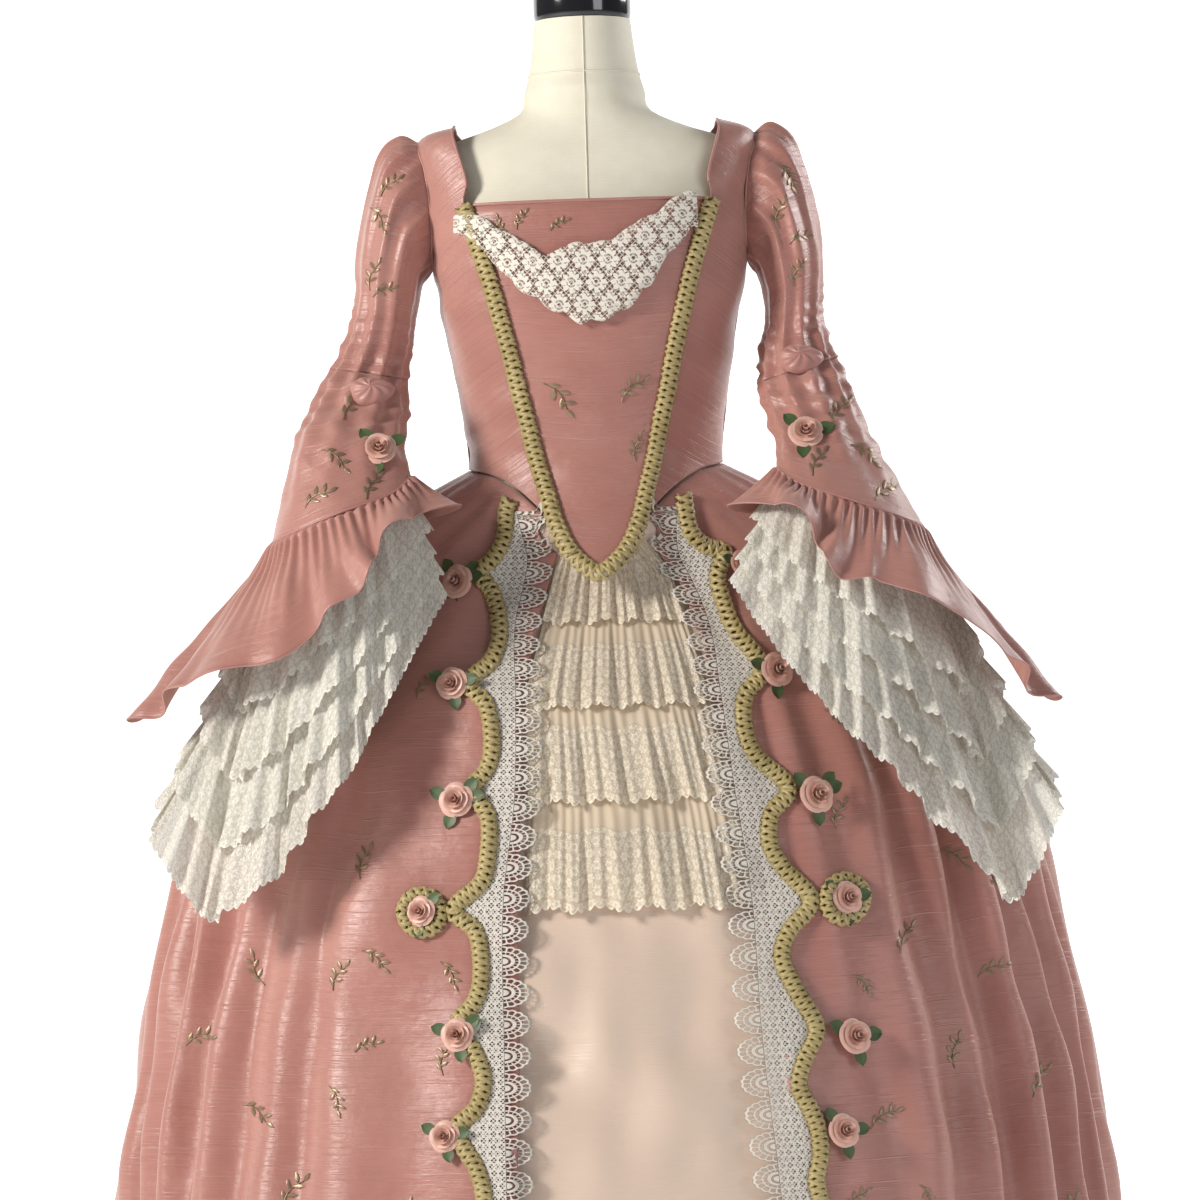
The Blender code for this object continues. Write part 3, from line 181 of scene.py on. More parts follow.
# The petticoat lies this far inside the overskirt, at the front and at the sides.
FRONT_INSET, SIDE_INSET, FRONT_TURN, PETTICOAT_TOP_INSET = 12.0, 38.0, 25.0, 2.8
# Petticoat ruffles: top height, hem height, number of waves, depth of the waves.
RUFFLES = [(972, 893, 5, 4.5), (902, 812, 5, 5.0), (820, 722, 5, 5.0), (730, 622, 5, 5.0)]
RUFFLE_SIDE_GAP = 0.012  # in radians, to the overskirt's front edge
# Sleeve stations: outer x and z, inner x and z, middle y, half depth, pleat depth, as seen on each side.
SLEEVE = {
    "left": [
        (188, 1381, 164, 1244, 0, 52, 3.5), (210, 1357, 169, 1237, 0, 57, 3.5),
        (231, 1275, 174, 1212, -6, 54, 2.0),
        (235, 1222, 178, 1192, -14, 46, 2.0), (244, 1188, 183, 1168, -26, 41, 2.5),
        (260, 1155, 188, 1142, -45, 37, 3.5)],
    "right": [
        (188, 1383, 164, 1244, 0, 52, 3.5), (212, 1356, 169, 1237, 0, 57, 3.5),
        (232, 1272, 174, 1210, -6, 54, 2.0),
        (231, 1218, 174, 1188, -14, 46, 2.0), (231, 1185, 169, 1160, -26, 41, 2.5),
        (241, 1150, 166, 1128, -45, 37, 3.5)],
}
LOWER_SLEEVE = {
    "left": [(281, 1118, 188, 1108, -72, 40, 3.0),
             (299, 1082, 192, 1078, -100, 47, 2.0)],
    "right": [(259, 1110, 174, 1096, -72, 40, 3.0),
              (281, 1060, 181, 1066, -100, 47, 2.0)],
}
# Rings of the cuff, each from the inner point round the front to the outer and the back: x, y, z.
CUFF = {
    "left": [(186, -140, 1044.5), (206, -178, 1027), (256, -196, 1011), (305, -179, 992),
             (325, -140, 983.5), (305, -101, 996), (256, -84, 1015), (206, -101, 1033)],
    "right": [(181, -140, 1042.5), (202, -178, 1026), (253, -196, 1008), (304, -179, 989),
              (325, -140, 979.5), (304, -101, 992), (253, -84, 1012), (202, -101, 1032)],
}
FLOUNCE_HEM = {
    "left": [(150, -158, 1008), (196, -222, 1000), (240, -248, 938), (318, -262, 868),
             (410, -240, 845), (464, -186, 806), (380, -100, 890), (246, -80, 975)],
    "right": [(144, -158, 1000), (190, -222, 1004), (240, -248, 934), (318, -262, 914),
              (400, -240, 850), (446, -186, 800), (372, -100, 890), (242, -80, 975)],
}
LACE_HEM = {
    "left": [(160, -178, 922), (200, -226, 846), (258, -272, 742), (330, -280, 645),
             (400, -262, 603), (450, -222, 686), (402, -178, 748), (264, -158, 870)],
    "right": [(138, -184, 928), (180, -232, 852), (248, -276, 768), (326, -284, 680),
              (402, -262, 597), (450, -222, 690), (402, -178, 745), (262, -158, 870)],
}
# Lace tiers as shares of the fall: top, middle row and hem.
LACE_TIERS = [(0.0, 0.25, 0.46), (0.25, 0.46, 0.64), (0.46, 0.64, 0.82), (0.64, 0.82, 1.0)]
LACE_ROWS = [0.0, 0.25, 0.46, 0.64, 0.82, 1.0]
TIER_STEP, LACE_WAVE, FLOUNCE_WAVE = 2.4, 5.5, 8.0
LONG_FALL = 320.0  # a fall this long has the full wave
NORMAL_BLUR = 14  # how many columns for each round that evens out the lace's normals
CUFF_WAVES, LACE_WAVES = 8, 7
ELBOW_KNOT = {"left": (218, 1126), "right": (204, 1146)}
# Roses: side, x, height, radius.
SKIRT_ROSES = [(-1, 139, 936, 17), (-1, 148, 834, 16), (-1, 148, 717, 17), (-1, 187, 606, 15),
               (-1, 154, 482, 16), (-1, 170, 380, 15),
               (1, 140, 946, 13), (1, 172, 838, 17), (1, 208, 711, 18), (1, 236, 606, 16),
               (1, 240, 466, 17), (1, 226, 372, 16)]
SLEEVE_ROSES = {"left": (210, 1066, 17), "right": (205, 1070, 17)}
# The white lace piece on the bodice: its outline, as x and height.
BODICE_LACE_TOP = [(-128, 1296), (-106, 1294), (-84, 1278), (-66, 1268), (-42, 1252), (-18, 1262), (0, 1262),
                   (24, 1266), (46, 1281), (66, 1290), (88, 1308), (104, 1312)]
BODICE_LACE_BOTTOM = [(97, 1278), (84, 1262), (68, 1244), (58, 1226), (40, 1208), (26, 1198), (8, 1192),
                      (-10, 1190), (-28, 1200), (-44, 1208), (-56, 1218), (-72, 1228), (-86, 1246),
                      (-102, 1262), (-116, 1280)]
CAMERA_ROLL = 0.03054
# Sprigs: x and height as seen, turn in degrees, size.
BODICE_SPRIGS = [(-66, 1288, 60, 18), (-84, 1286, 120, 16), (-30, 1282, 30, 18), (-38, 1116, -50, 34),
                 (38, 1118, 40, 30), (42, 1062, 70, 24)]
SKIRT_SPRIGS_LEFT = [(-245, 655, 70, 30), (-330, 700, 30, 32), (-240, 560, -40, 28), (-275, 540, 60, 28),
                     (-250, 470, 20, 24), (-170, 455, 80, 26), (-165, 545, -60, 26), (-330, 320, 50, 34),
                     (-370, 400, -30, 30), (-215, 300, 70, 26), (-360, 545, 110, 30), (-430, 470, 20, 30),
                     (-285, 420, -70, 26), (-430, 250, 60, 32), (-195, 200, 40, 28), (-300, 180, -40, 30),
                     (-400, 120, 80, 32), (-240, 90, 60, 28), (-180, 830, 50, 22), (-250, 800, -40, 26),
                     (-330, 60, 20, 30), (-460, 100, 70, 30)]
SKIRT_SPRIGS_RIGHT = [(235, 690, 70, 26), (270, 380, 30, 30), (350, 640, -30, 32), (300, 560, 60, 28),
                      (250, 520, -50, 24), (390, 520, 20, 30), (350, 440, 80, 30), (240, 300, 40, 26),
                      (390, 250, -60, 32), (440, 400, 50, 30), (300, 200, 70, 28), (440, 150, -20, 32),
                      (265, 100, 60, 28), (350, 90, 20, 30), (230, 790, -40, 22), (290, 760, 50, 26),
                      (400, 620, 100, 28), (470, 260, 60, 30), (310, 300, -70, 26)]
SLEEVE_SPRIGS_LEFT = [(-214, 1240, 70, 26), (-205, 1225, 20, 22), (-210, 1300, -60, 26), (-196, 1330, 40, 24),
                      (-235, 1110, 50, 30), (-255, 1060, -40, 28), (-215, 1030, 60, 26), (-270, 1020, 30, 28)]
SLEEVE_SPRIGS_RIGHT = [(190, 1290, 70, 26), (208, 1265, 20, 22), (196, 1330, -60, 26), (205, 1230, 60, 24),
                       (240, 1090, 50, 30), (260, 1050, -40, 28), (215, 1040, 60, 26), (280, 1010, 30, 28)]


class Side(Enum):
    """The two sides of the gown, as seen from the front."""

    LEFT = "left"
    RIGHT = "right"

    @property
    def sign(self) -> int:
        """-1 on the left, 1 on the right."""
        return -1 if self is Side.LEFT else 1


class Held(Enum):
    """How a sheet of cloth is held."""

    GATHERED = "gathered"
    STRETCHED = "stretched"
    HUNG = "hung"
    LAID = "laid"


class Graph:
    """A material's node tree, written as short sums."""

    def __init__(self, name: str) -> None:
        """Make the material with an empty tree.

        Args:
            name: The material's name.
        """
        self.material = bpy.data.materials.new(name)
        self.material.use_nodes = True
        self.tree = self.material.node_tree
        self.tree.nodes.clear()

    def node(self, kind: str, inputs: dict | None = None, **settings) -> bpy.types.Node:
        """Add a node, and set or link its inputs.

        Args:
            kind: The node's type name without "ShaderNode".
            inputs: Values or sockets by input name or number.
            **settings: The node's own settings.

        Returns:
            The node.
        """
        made = self.tree.nodes.new("ShaderNode" + kind)
        for key, value in settings.items():
            setattr(made, key, value)
        for key, value in (inputs or {}).items():
            self.put(made.inputs[key], value)
        return made

    def put(self, socket: Socket, value: Value) -> None:
        """Link a socket to an input, or set the input's constant.

        Args:
            socket: The input.
            value: A socket, number or tuple.
        """
        if isinstance(value, bpy.types.NodeSocket):
            self.tree.links.new(value, socket)
        elif isinstance(value, tuple) and socket.type == "RGBA" and len(value) == 3:
            socket.default_value = (*value, 1.0)
        else:
            socket.default_value = value

    def math(self, what: str, a: Value, b: Value = 0.0, c: Value = 0.0) -> Socket:
        """One sum.

        Args:
            what: The operation's name.
            a: First value.
            b: Second value.
            c: Third value.

        Returns:
            The result's socket.
        """
        return self.node("Math", {0: a, 1: b, 2: c}, operation=what).outputs[0]

    def step(self, value: Value, low: float, high: float, first: float = 0.0, last: float = 1.0) -> Socket:
        """A smooth step between two values.

        Args:
            value: The socket read.
            low: Where the step begins.
            high: Where it ends.
            first: The result below it.
            last: The result above it.

        Returns:
            The result's socket.
        """
        made = self.node("MapRange", {"Value": value, "From Min": low, "From Max": high,
                                      "To Min": first, "To Max": last}, interpolation_type="SMOOTHSTEP")
        return made.outputs["Result"]

    def mix(self, share: Value, a: Value, b: Value) -> Socket:
        """A colour between two.

        Args:
            share: 0 gives a, 1 gives b.
            a: First colour.
            b: Second colour.

        Returns:
            The colour's socket.
        """
        made = self.node("Mix", data_type="RGBA")
        for socket, value in ((made.inputs[0], share), (made.inputs[6], a), (made.inputs[7], b)):
            self.put(socket, value)
        return made.outputs[2]

    def noise(self, scale: float, stretch: tuple = (1.0, 1.0, 1.0), detail: float = 3.0,
              where: Socket | None = None) -> Socket:
        """Soft noise in the object's own space, or in other coordinates.

        Args:
            scale: Repeats in a metre.
            stretch: Scale along each axis.
            detail: Octaves.
            where: The coordinates read, if not the object's.

        Returns:
            The noise's socket.
        """
        source = where or self.node("TexCoord").outputs["Object"]
        mapped = self.node("Mapping", {"Vector": source, "Scale": stretch})
        made = self.node("TexNoise", {"Vector": mapped.outputs[0], "Scale": scale, "Detail": detail})
        return made.outputs["Fac"]

    def flat(self) -> tuple[Socket, Socket]:
        """The cloth's own coordinates in millimetres: along it and across it.

        Returns:
            Two sockets.
        """
        uv = self.node("UVMap", uv_map="flat").outputs[0]
        parts = self.node("SeparateXYZ", {0: uv})
        return parts.outputs[0], parts.outputs[1]

    def flower(self, along: Socket, across: Socket, pitch: float, size: float, petals: int,
               shift: float = 0.0) -> Socket:
        """A repeat of round flowers in offset rows.

        Args:
            along: Distance along the cloth.
            across: Distance across it.
            pitch: Distance between flowers.
            size: A flower's radius.
            petals: How many petals each has.
            shift: Moves the whole repeat.

        Returns:
            A socket: 1 in a petal, 0 outside.
        """
        row = self.math("FLOOR", self.math("DIVIDE", self.math("ADD", across, shift), pitch * 0.87))
        odd = self.math("MULTIPLY", self.math("PINGPONG", row, 1.0), pitch / 2)
        moved = self.math("ADD", self.math("ADD", along, odd), shift * 1.7)
        x = self.math("WRAP", moved, -pitch / 2, pitch / 2)
        self_y = self.math("SUBTRACT", self.math("ADD", across, shift),
                           self.math("MULTIPLY", self.math("ADD", row, 0.5), pitch * 0.87))
        angle = self.math("ARCTAN2", self_y, x)
        squares = self.math("ADD", self.math("MULTIPLY", x, x), self.math("MULTIPLY", self_y, self_y))
        reach = self.math("SQRT", squares)
        lobes = self.math("ABSOLUTE", self.math("COSINE", self.math("MULTIPLY", angle, petals / 2)))
        edge = self.math("MULTIPLY_ADD", lobes, 0.45 * size, 0.55 * size)
        inner = self.step(self.math("SUBTRACT", edge, reach), -0.25, 0.25)
        eye = self.step(reach, 0.14 * size, 0.2 * size)
        off_ring = self.math("ABSOLUTE", self.math("SUBTRACT", reach, 0.36 * size))
        ring = self.math("MULTIPLY_ADD", self.step(off_ring, 0.05 * size, 0.1 * size), 0.6, 0.4)
        return self.math("MULTIPLY", inner, self.math("MULTIPLY", eye, ring))

    def net(self, along: Socket, across: Socket, pitch: float, thread: float) -> Socket:
        """A fine net of crossed threads.

        Args:
            along: Distance along the cloth.
            across: Distance across it.
            pitch: The mesh's width.
            thread: A thread's width.

        Returns:
            A socket: 1 on a thread.
        """
        first = self.math("ADD", along, across)
        second = self.math("SUBTRACT", along, across)
        found = [self.math("PINGPONG", line, pitch / 2) for line in (first, second)]
        return self.step(self.math("MINIMUM", *found), thread * 0.5, thread * 0.9, 1.0, 0.0)

    def finish(self, colour: Value, rough: Value, *, sheen: float = 0.0, bump: Socket | None = None,
               height: float = 0.0005, alpha: Socket | None = None, metallic: float = 0.0,
               anisotropic: float = 0.0, through: float = 0.0, coat: float = 0.0,
               glow: Value = 0.0) -> bpy.types.Material:
        """The surface itself.

        Args:
            colour: Base colour.
            rough: Roughness.
            sheen: Weight of the cloth's sheen.
            bump: Socket of the relief.
            height: The relief's height in metres.
            alpha: Socket of what is cloth and what is gap.
            metallic: Metallic weight.
            anisotropic: How stretched the highlights are.
            through: Share of light that passes through.
            coat: Weight of a clear coat.
            glow: Its own light.

        Returns:
            The material.
        """
        inputs = {"Base Color": colour, "Roughness": rough, "Sheen Weight": sheen, "Metallic": metallic,
                  "Anisotropic": anisotropic, "Coat Weight": coat, "Sheen Roughness": 0.35,
                  "Emission Color": (1.0, 1.0, 1.0), "Emission Strength": glow}
        if bump is not None:
            relief = self.node("Bump", {"Height": bump, "Distance": height, "Strength": 1.0})
            inputs["Normal"] = relief.outputs[0]
        if alpha is not None:
            inputs["Alpha"] = alpha
        shader = self.node("BsdfPrincipled", inputs).outputs[0]
        if through:
            thin = self.node("BsdfTranslucent", {"Color": colour}).outputs[0]
            if alpha is not None:
                clear = self.node("BsdfTransparent").outputs[0]
                thin = self.node("MixShader", {0: alpha, 1: clear, 2: thin}).outputs[0]
            shader = self.node("MixShader", {0: through, 1: shader, 2: thin}).outputs[0]
        out = self.node("OutputMaterial")
        self.tree.links.new(shader, out.inputs["Surface"])
        return self.material


@dataclass(frozen=True)
class Finish:
    """A finish: its record slot and its colours."""

    slot: str
    colour: tuple
    shade: tuple
    rough: float = 0.5

    def material(self) -> bpy.types.Material:
        """Make the finish's material, once.

        Returns:
            The material.
        """
        name = f"{type(self).__name__.lower()}_{self.slot}"
        return bpy.data.materials.get(name) or self.build(Graph(name))

    def build(self, g: Graph) -> bpy.types.Material:
        """Lay out the finish's nodes.

        Args:
            g: The graph to fill.

        Returns:
            The material.
        """
        return g.finish(g.mix(g.noise(30), self.colour, self.shade), self.rough)


@dataclass(frozen=True)
class Dupioni(Finish):
    """Slubbed silk: level threads, thick in places, with a painted two-tone sheen, lighter at grazing angles.
    """

    def build(self, g: Graph) -> bpy.types.Material:
        """Lay out the silk's nodes.

        Args:
            g: The graph to fill.

        Returns:
            The material.
        """
        along, across = g.flat()
        where = g.node("CombineXYZ", {0: g.math("MULTIPLY", along, 0.012), 1: across}).outputs[0]
        slub = g.step(g.noise(0.55, detail=2.0, where=where), 0.56, 0.74)
        fine = g.noise(1.9, detail=3.0, where=where)
        # Painted sheen: the colour turns from the base colour to the lighter second colour towards grazing
        # angles.
        painted_sheen_mask = g.node("LayerWeight", {"Blend": 0.42}).outputs["Facing"]
        tone = g.mix(painted_sheen_mask, self.colour, self.shade)
        tone = g.mix(g.math("MULTIPLY", slub, 0.3), tone, (0.66, 0.40, 0.34))
        tone = g.mix(g.math("MULTIPLY", g.step(fine, 0.4, 0.62), 0.3), tone, (0.26, 0.10, 0.08))
        tone = g.mix(g.math("MULTIPLY", g.step(g.noise(6), 0.35, 0.7), 0.25), tone, (0.58, 0.31, 0.26))
        relief = g.math("ADD", g.math("MULTIPLY", slub, 0.7), g.math("MULTIPLY", fine, 0.5))
        relief = g.math("ADD", relief, g.math("MULTIPLY", g.noise(22, detail=4.0), 6.0))
        return g.finish(tone, self.rough, sheen=0.2, bump=relief, height=0.00045, anisotropic=0.4)


@dataclass(frozen=True)
class Satin(Finish):
    """Smooth satin with soft cloudy light, and a painted sheen, lighter at grazing angles."""

    def build(self, g: Graph) -> bpy.types.Material:
        """Lay out the satin's nodes.

        Args:
            g: The graph to fill.

        Returns:
            The material.
        """
        along, across = g.flat()
        where = g.node("CombineXYZ", {0: g.math("MULTIPLY", along, 0.03), 1: across}).outputs[0]
        # Painted sheen: the colour turns from the base colour to the lighter second colour towards grazing
        # angles.
        painted_sheen_mask = g.node("LayerWeight", {"Blend": 0.4}).outputs["Facing"]
        tone = g.mix(painted_sheen_mask, self.colour, self.shade)
        tone = g.mix(g.math("MULTIPLY", g.noise(7, detail=4.0), 0.25), tone, self.shade)
        relief = g.math("ADD", g.noise(0.9, where=where), g.math("MULTIPLY", g.noise(16), 3.0))
        return g.finish(tone, self.rough, sheen=0.1, bump=relief, height=0.0003, anisotropic=0.3)


@dataclass(frozen=True)
class Linen(Finish):
    """Plain woven linen."""

    def build(self, g: Graph) -> bpy.types.Material:
        """Lay out the linen's nodes.

        Args:
            g: The graph to fill.

        Returns:
            The material.
        """
        weave = g.math("ADD", g.noise(900, (1, 1, 0.06)), g.noise(900, (0.06, 0.06, 1)))
        tone = g.mix(g.noise(60), self.colour, self.shade)
        return g.finish(tone, self.rough, sheen=0.15, bump=weave, height=0.0002)


@dataclass(frozen=True)
class Lace(Finish):
    """Floral lace on a fine net with a scalloped hem; its coordinates run down to 0 at the hem."""

    ground: float = 0.3
    motif_top: float = 1e6
    scallop: float = 14.0
    petal: float = 6.5

    def build(self, g: Graph) -> bpy.types.Material:
        """Lay out the lace's nodes.

        Args:
            g: The graph to fill.

        Returns:
            The material.
        """
        along, across = g.flat()
        big = g.flower(along, across, self.petal * 2.6, self.petal, 6)
        small = g.flower(along, across, self.petal * 1.7, self.petal * 0.62, 5, shift=self.petal * 0.9)
        where = g.node("CombineXYZ", {0: along, 1: across}).outputs[0]
        stem = g.node("TexVoronoi", {"Vector": where, "Scale": 0.16}, feature="DISTANCE_TO_EDGE",
                      voronoi_dimensions="2D").outputs["Distance"]
        vine = g.step(stem, 0.02, 0.045, 1.0, 0.0)
        motif = g.math("MAXIMUM", g.math("MAXIMUM", big, small), g.math("MULTIPLY", vine, 0.8))
        motif = g.math("MULTIPLY", motif, g.step(across, self.motif_top - 4, self.motif_top, 1.0, 0.0))
        net = g.math("MAXIMUM", g.net(along, across, 2.0, 0.5), self.ground)
        lobe = g.math("ABSOLUTE", g.math("SINE", g.math("MULTIPLY", along, math.pi / self.scallop)))
        notch = g.math("MULTIPLY", g.math("SUBTRACT", 1.0, lobe), self.scallop * 0.38)
        edge = g.math("SUBTRACT", across, notch)
        cloth = g.step(edge, 0.0, 0.4)
        cord = g.math("MULTIPLY", g.step(edge, 1.8, 2.3, 1.0, 0.0), cloth)
        solid = g.math("MAXIMUM", motif, cord)
        alpha = g.math("MULTIPLY", g.math("MAXIMUM", solid, net), cloth)
        tone = g.mix(solid, self.shade, self.colour)
        return g.finish(tone, self.rough, sheen=0.1, bump=solid, height=0.0009, alpha=alpha, through=0.18)


@dataclass(frozen=True)
class Guipure(Finish):
    """Raised white lace: deep fans of radial loops along one edge, then small flowers on a net."""

    pitch: float = 30.0
    deep: float = 34.0

    def build(self, g: Graph) -> bpy.types.Material:
        """Lay out the lace's nodes.

        Args:
            g: The graph to fill.

        Returns:
            The material.
        """
        along, across = g.flat()
        p, q = self.pitch, self.deep
        x = g.math("DIVIDE", g.math("WRAP", along, -p / 2, p / 2), p / 2)
        y = g.math("DIVIDE", g.math("SUBTRACT", across, q * 0.8), q * 0.8)
        reach = g.math("SQRT", g.math("ADD", g.math("MULTIPLY", x, x), g.math("MULTIPLY", y, y)))
        angle = g.math("ARCTAN2", y, x)
        lobes = g.math("ABSOLUTE", g.math("COSINE", g.math("MULTIPLY", angle, 9.0)))
        edge = g.math("SUBTRACT", g.math("MULTIPLY_ADD", lobes, 0.07, 0.92), reach)
        inside = g.step(edge, -0.012, 0.012)
        loops = g.step(g.math("ABSOLUTE", g.math("SUBTRACT", edge, 0.07)), 0.045, 0.06, 1.0, 0.0)
        bars = g.step(lobes, 0.34, 0.5, 1.0, 0.0)
        bars = g.math("MULTIPLY", bars, g.step(reach, 0.42, 0.46))
        ring = g.step(g.math("ABSOLUTE", g.math("SUBTRACT", reach, 0.6)), 0.035, 0.05, 1.0, 0.0)
        hub = g.step(g.math("ABSOLUTE", g.math("SUBTRACT", reach, 0.36)), 0.07, 0.085, 1.0, 0.0)
        star = g.step(g.math("SUBTRACT", 0.2, reach), -0.03, 0.03)
        middle = g.math("MAXIMUM", g.math("MAXIMUM", hub, ring), star)
        fan = g.math("MAXIMUM", g.math("MAXIMUM", loops, bars), middle)
        fan = g.math("MULTIPLY", fan, inside)
        ground = g.step(across, q * 0.8, q * 0.84)
        flowers = g.math("MAXIMUM", g.flower(along, across, 12.0, 6.2, 6), g.net(along, across, 4.0, 1.1))
        solid = g.math("MAXIMUM", g.math("MULTIPLY", flowers, ground),
                       g.math("MULTIPLY", fan, g.math("SUBTRACT", 1.0, ground)))
        tone = g.mix(g.noise(300), self.colour, self.shade)
        return g.finish(tone, self.rough, sheen=0.2, bump=solid, height=0.0014, alpha=solid, through=0.12)


@dataclass(frozen=True)
class Medallion(Finish):
    """Raised white lace for the bodice: large rosettes among bars."""

    def build(self, g: Graph) -> bpy.types.Material:
        """Lay out the lace's nodes.

        Args:
            g: The graph to fill.

        Returns:
            The material.
        """
        along, across = g.flat()
        big = g.flower(along, across, 24.0, 10.5, 8, shift=6.0)
        small = g.flower(along, across, 12.0, 4.6, 6, shift=2.0)
        bars = g.net(along, across, 5.2, 1.0)
        solid = g.math("MAXIMUM", g.math("MAXIMUM", big, small), g.math("MULTIPLY", bars, 0.75))
        tone = g.mix(solid, self.shade, self.colour)
        cloth = g.math("MAXIMUM", solid, 0.12)
        return g.finish(tone, self.rough, sheen=0.2, bump=solid, height=0.001, alpha=cloth, through=0.1)


@dataclass(frozen=True)
class Gloss(Finish):
    """A hard glossy or metallic surface."""

    metallic: float = 0.0
    coat: float = 0.0

    def build(self, g: Graph) -> bpy.types.Material:
        """Lay out the surface's nodes.

        Args:
            g: The graph to fill.

        Returns:
            The material.
        """
        return g.finish(g.mix(g.noise(40), self.colour, self.shade), self.rough, metallic=self.metallic,
                        coat=self.coat)


# The Dupioni and Satin finishes show their second colour towards grazing angles, as a painted sheen.
PINK = Dupioni("pink_silk", (0.40, 0.17, 0.14), (0.62, 0.35, 0.295), 0.32)
PIPING = Satin("pink_silk", (0.40, 0.175, 0.15), (0.55, 0.31, 0.27), 0.42)
CREAM = Satin("cream_satin", (0.66, 0.51, 0.41), (0.80, 0.67, 0.56), 0.33)
RUFFLE = Lace("cream_lace", (0.92, 0.84, 0.69), (0.80, 0.68, 0.52), 0.7, ground=0.68, motif_top=84.0,
              scallop=11.0, petal=5.4)
IVORY = Lace("ivory_lace", (0.94, 0.92, 0.84), (0.80, 0.77, 0.67), 0.8, ground=0.72, scallop=10.0, petal=5.0)
WHITE = Guipure("white_lace", (0.84, 0.80, 0.73), (0.66, 0.60, 0.53), 0.8)
ROSETTE = Medallion("white_lace", (0.86, 0.81, 0.72), (0.46, 0.33, 0.26), 0.8)
BRAID = Finish("olive_braid", (0.31, 0.235, 0.085), (0.54, 0.44, 0.21), 0.4)
LINEN = Linen("linen", (0.82, 0.78, 0.65), (0.74, 0.69, 0.56), 0.85)
CAP = Gloss("black_cap", (0.006, 0.006, 0.007), (0.012, 0.012, 0.014), 0.12, coat=0.6)
STAND = Gloss("stand", (0.05, 0.05, 0.055), (0.07, 0.07, 0.075), 0.45)
ROSE = Satin("rose_satin", (0.66, 0.37, 0.30), (0.82, 0.58, 0.48), 0.4)
LEAF = Gloss("rose_satin", (0.03, 0.065, 0.022), (0.10, 0.14, 0.05), 0.5)
SPRIG = Gloss("pink_silk", (0.24, 0.17, 0.10), (0.36, 0.27, 0.17), 0.4, metallic=0.5)


def curve_through(xs: np.ndarray, ys: np.ndarray, at: np.ndarray) -> np.ndarray:
    """A smooth curve through the values, with the slopes of its neighbours, read at the places given.

    Args:
        xs: Where the values stand.
        ys: The values.
        at: Where to read.

    Returns:
        The values or points read.
    """
    xs, ys = np.asarray(xs, float), np.asarray(ys, float)
    slope = np.gradient(ys, xs)
    at = np.clip(at, xs[0], xs[-1])
    k = np.clip(np.searchsorted(xs, at) - 1, 0, len(xs) - 2)
    step = xs[k + 1] - xs[k]
    t = (at - xs[k]) / step
    return ((2 * t**3 - 3 * t**2 + 1) * ys[k] + (t**3 - 2 * t**2 + t) * step * slope[k]
            + (3 * t**2 - 2 * t**3) * ys[k + 1] + (t**3 - t**2) * step * slope[k + 1])


def ring_through(points: np.ndarray, u: np.ndarray) -> np.ndarray:
    """A closed smooth curve through the points, at shares u of its turn.

    Args:
        points: The points.
        u: Shares of the turn.

    Returns:
        The values or points read.
    """
    points = np.asarray(points, float)
    count = len(points)
    at = (np.asarray(u) % 1.0) * count
    k = at.astype(int) % count
    t = (at - at.astype(int))[..., None]
    a, b, c, d = (points[(k + step) % count] for step in (-1, 0, 1, 2))
    return 0.5 * (2 * b + (c - a) * t + (2 * a - 5 * b + 4 * c - d) * t**2 + (3 * b - a - 3 * c + d) * t**3)


def body_value(p: np.ndarray) -> np.ndarray:
    """Zero on the bodice's outer face, below zero inside it.

    Args:
        p: The points.

    Returns:
        The values.
    """
    z = p[..., 2]
    wide, front, back, power = (curve_through(BODY[:, 0], BODY[:, k], z) for k in (1, 2, 3, 4))
    deep = np.where(p[..., 1] < 0, front, back)
    return (np.abs(p[..., 0] / wide) ** power + np.abs(p[..., 1] / deep) ** power) ** (1 / power) - 1


def body_normal(p: np.ndarray) -> np.ndarray:
    """The gradient of body_value.

    Args:
        p: The points.

    Returns:
        The points.
    """
    step = 0.02
    slopes = []
    for axis in range(3):
        move = np.zeros(3)
        move[axis] = step
        slopes.append((body_value(p + move) - body_value(p - move)) / (2 * step))
    return np.stack(slopes, axis=-1)


def on_body(p: np.ndarray, out: float = 0.0) -> np.ndarray:
    """Points moved onto the bodice's outer face, and then out by a distance.

    Args:
        p: The points.
        out: How far out.

    Returns:
        The points.
    """
    p = np.array(p, float)
    for _ in range(12):
        slope = body_normal(p)
        p = p - (body_value(p) / np.maximum((slope**2).sum(-1), 1e-9))[..., None] * slope
    slope = body_normal(p)
    return p + out * slope / np.linalg.norm(slope, axis=-1, keepdims=True)


def along(points: np.ndarray, count: int) -> np.ndarray:
    """Points spaced evenly by length along a line, ends included.

    Args:
        points: The points.
        count: How many.

    Returns:
        The points.
    """
    points = np.asarray(points, float)
    steps = np.linalg.norm(np.diff(points, axis=0), axis=1)
    length = np.concatenate([[0], np.cumsum(steps)])
    at = np.linspace(0, length[-1], count)
    return np.stack([np.interp(at, length, points[:, k]) for k in range(points.shape[1])], axis=-1)


def patch(bottom: np.ndarray, top: np.ndarray, left: np.ndarray, right: np.ndarray) -> np.ndarray:
    """A surface between four edges with shared corners: rows from bottom to top, columns left to right.

    Args:
        bottom: The lowest row.
        top: The highest row.
        left: The first column.
        right: The last column.

    Returns:
        The points.
    """
    u = np.linspace(0, 1, len(bottom))[None, :, None]
    v = np.linspace(0, 1, len(left))[:, None, None]
    across = (1 - v) * bottom[None] + v * top[None]
    up = (1 - u) * left[:, None] + u * right[:, None]
    corners = ((1 - u) * (1 - v) * bottom[0] + u * (1 - v) * bottom[-1]
               + (1 - u) * v * top[0] + u * v * top[-1])
    return across + up - corners


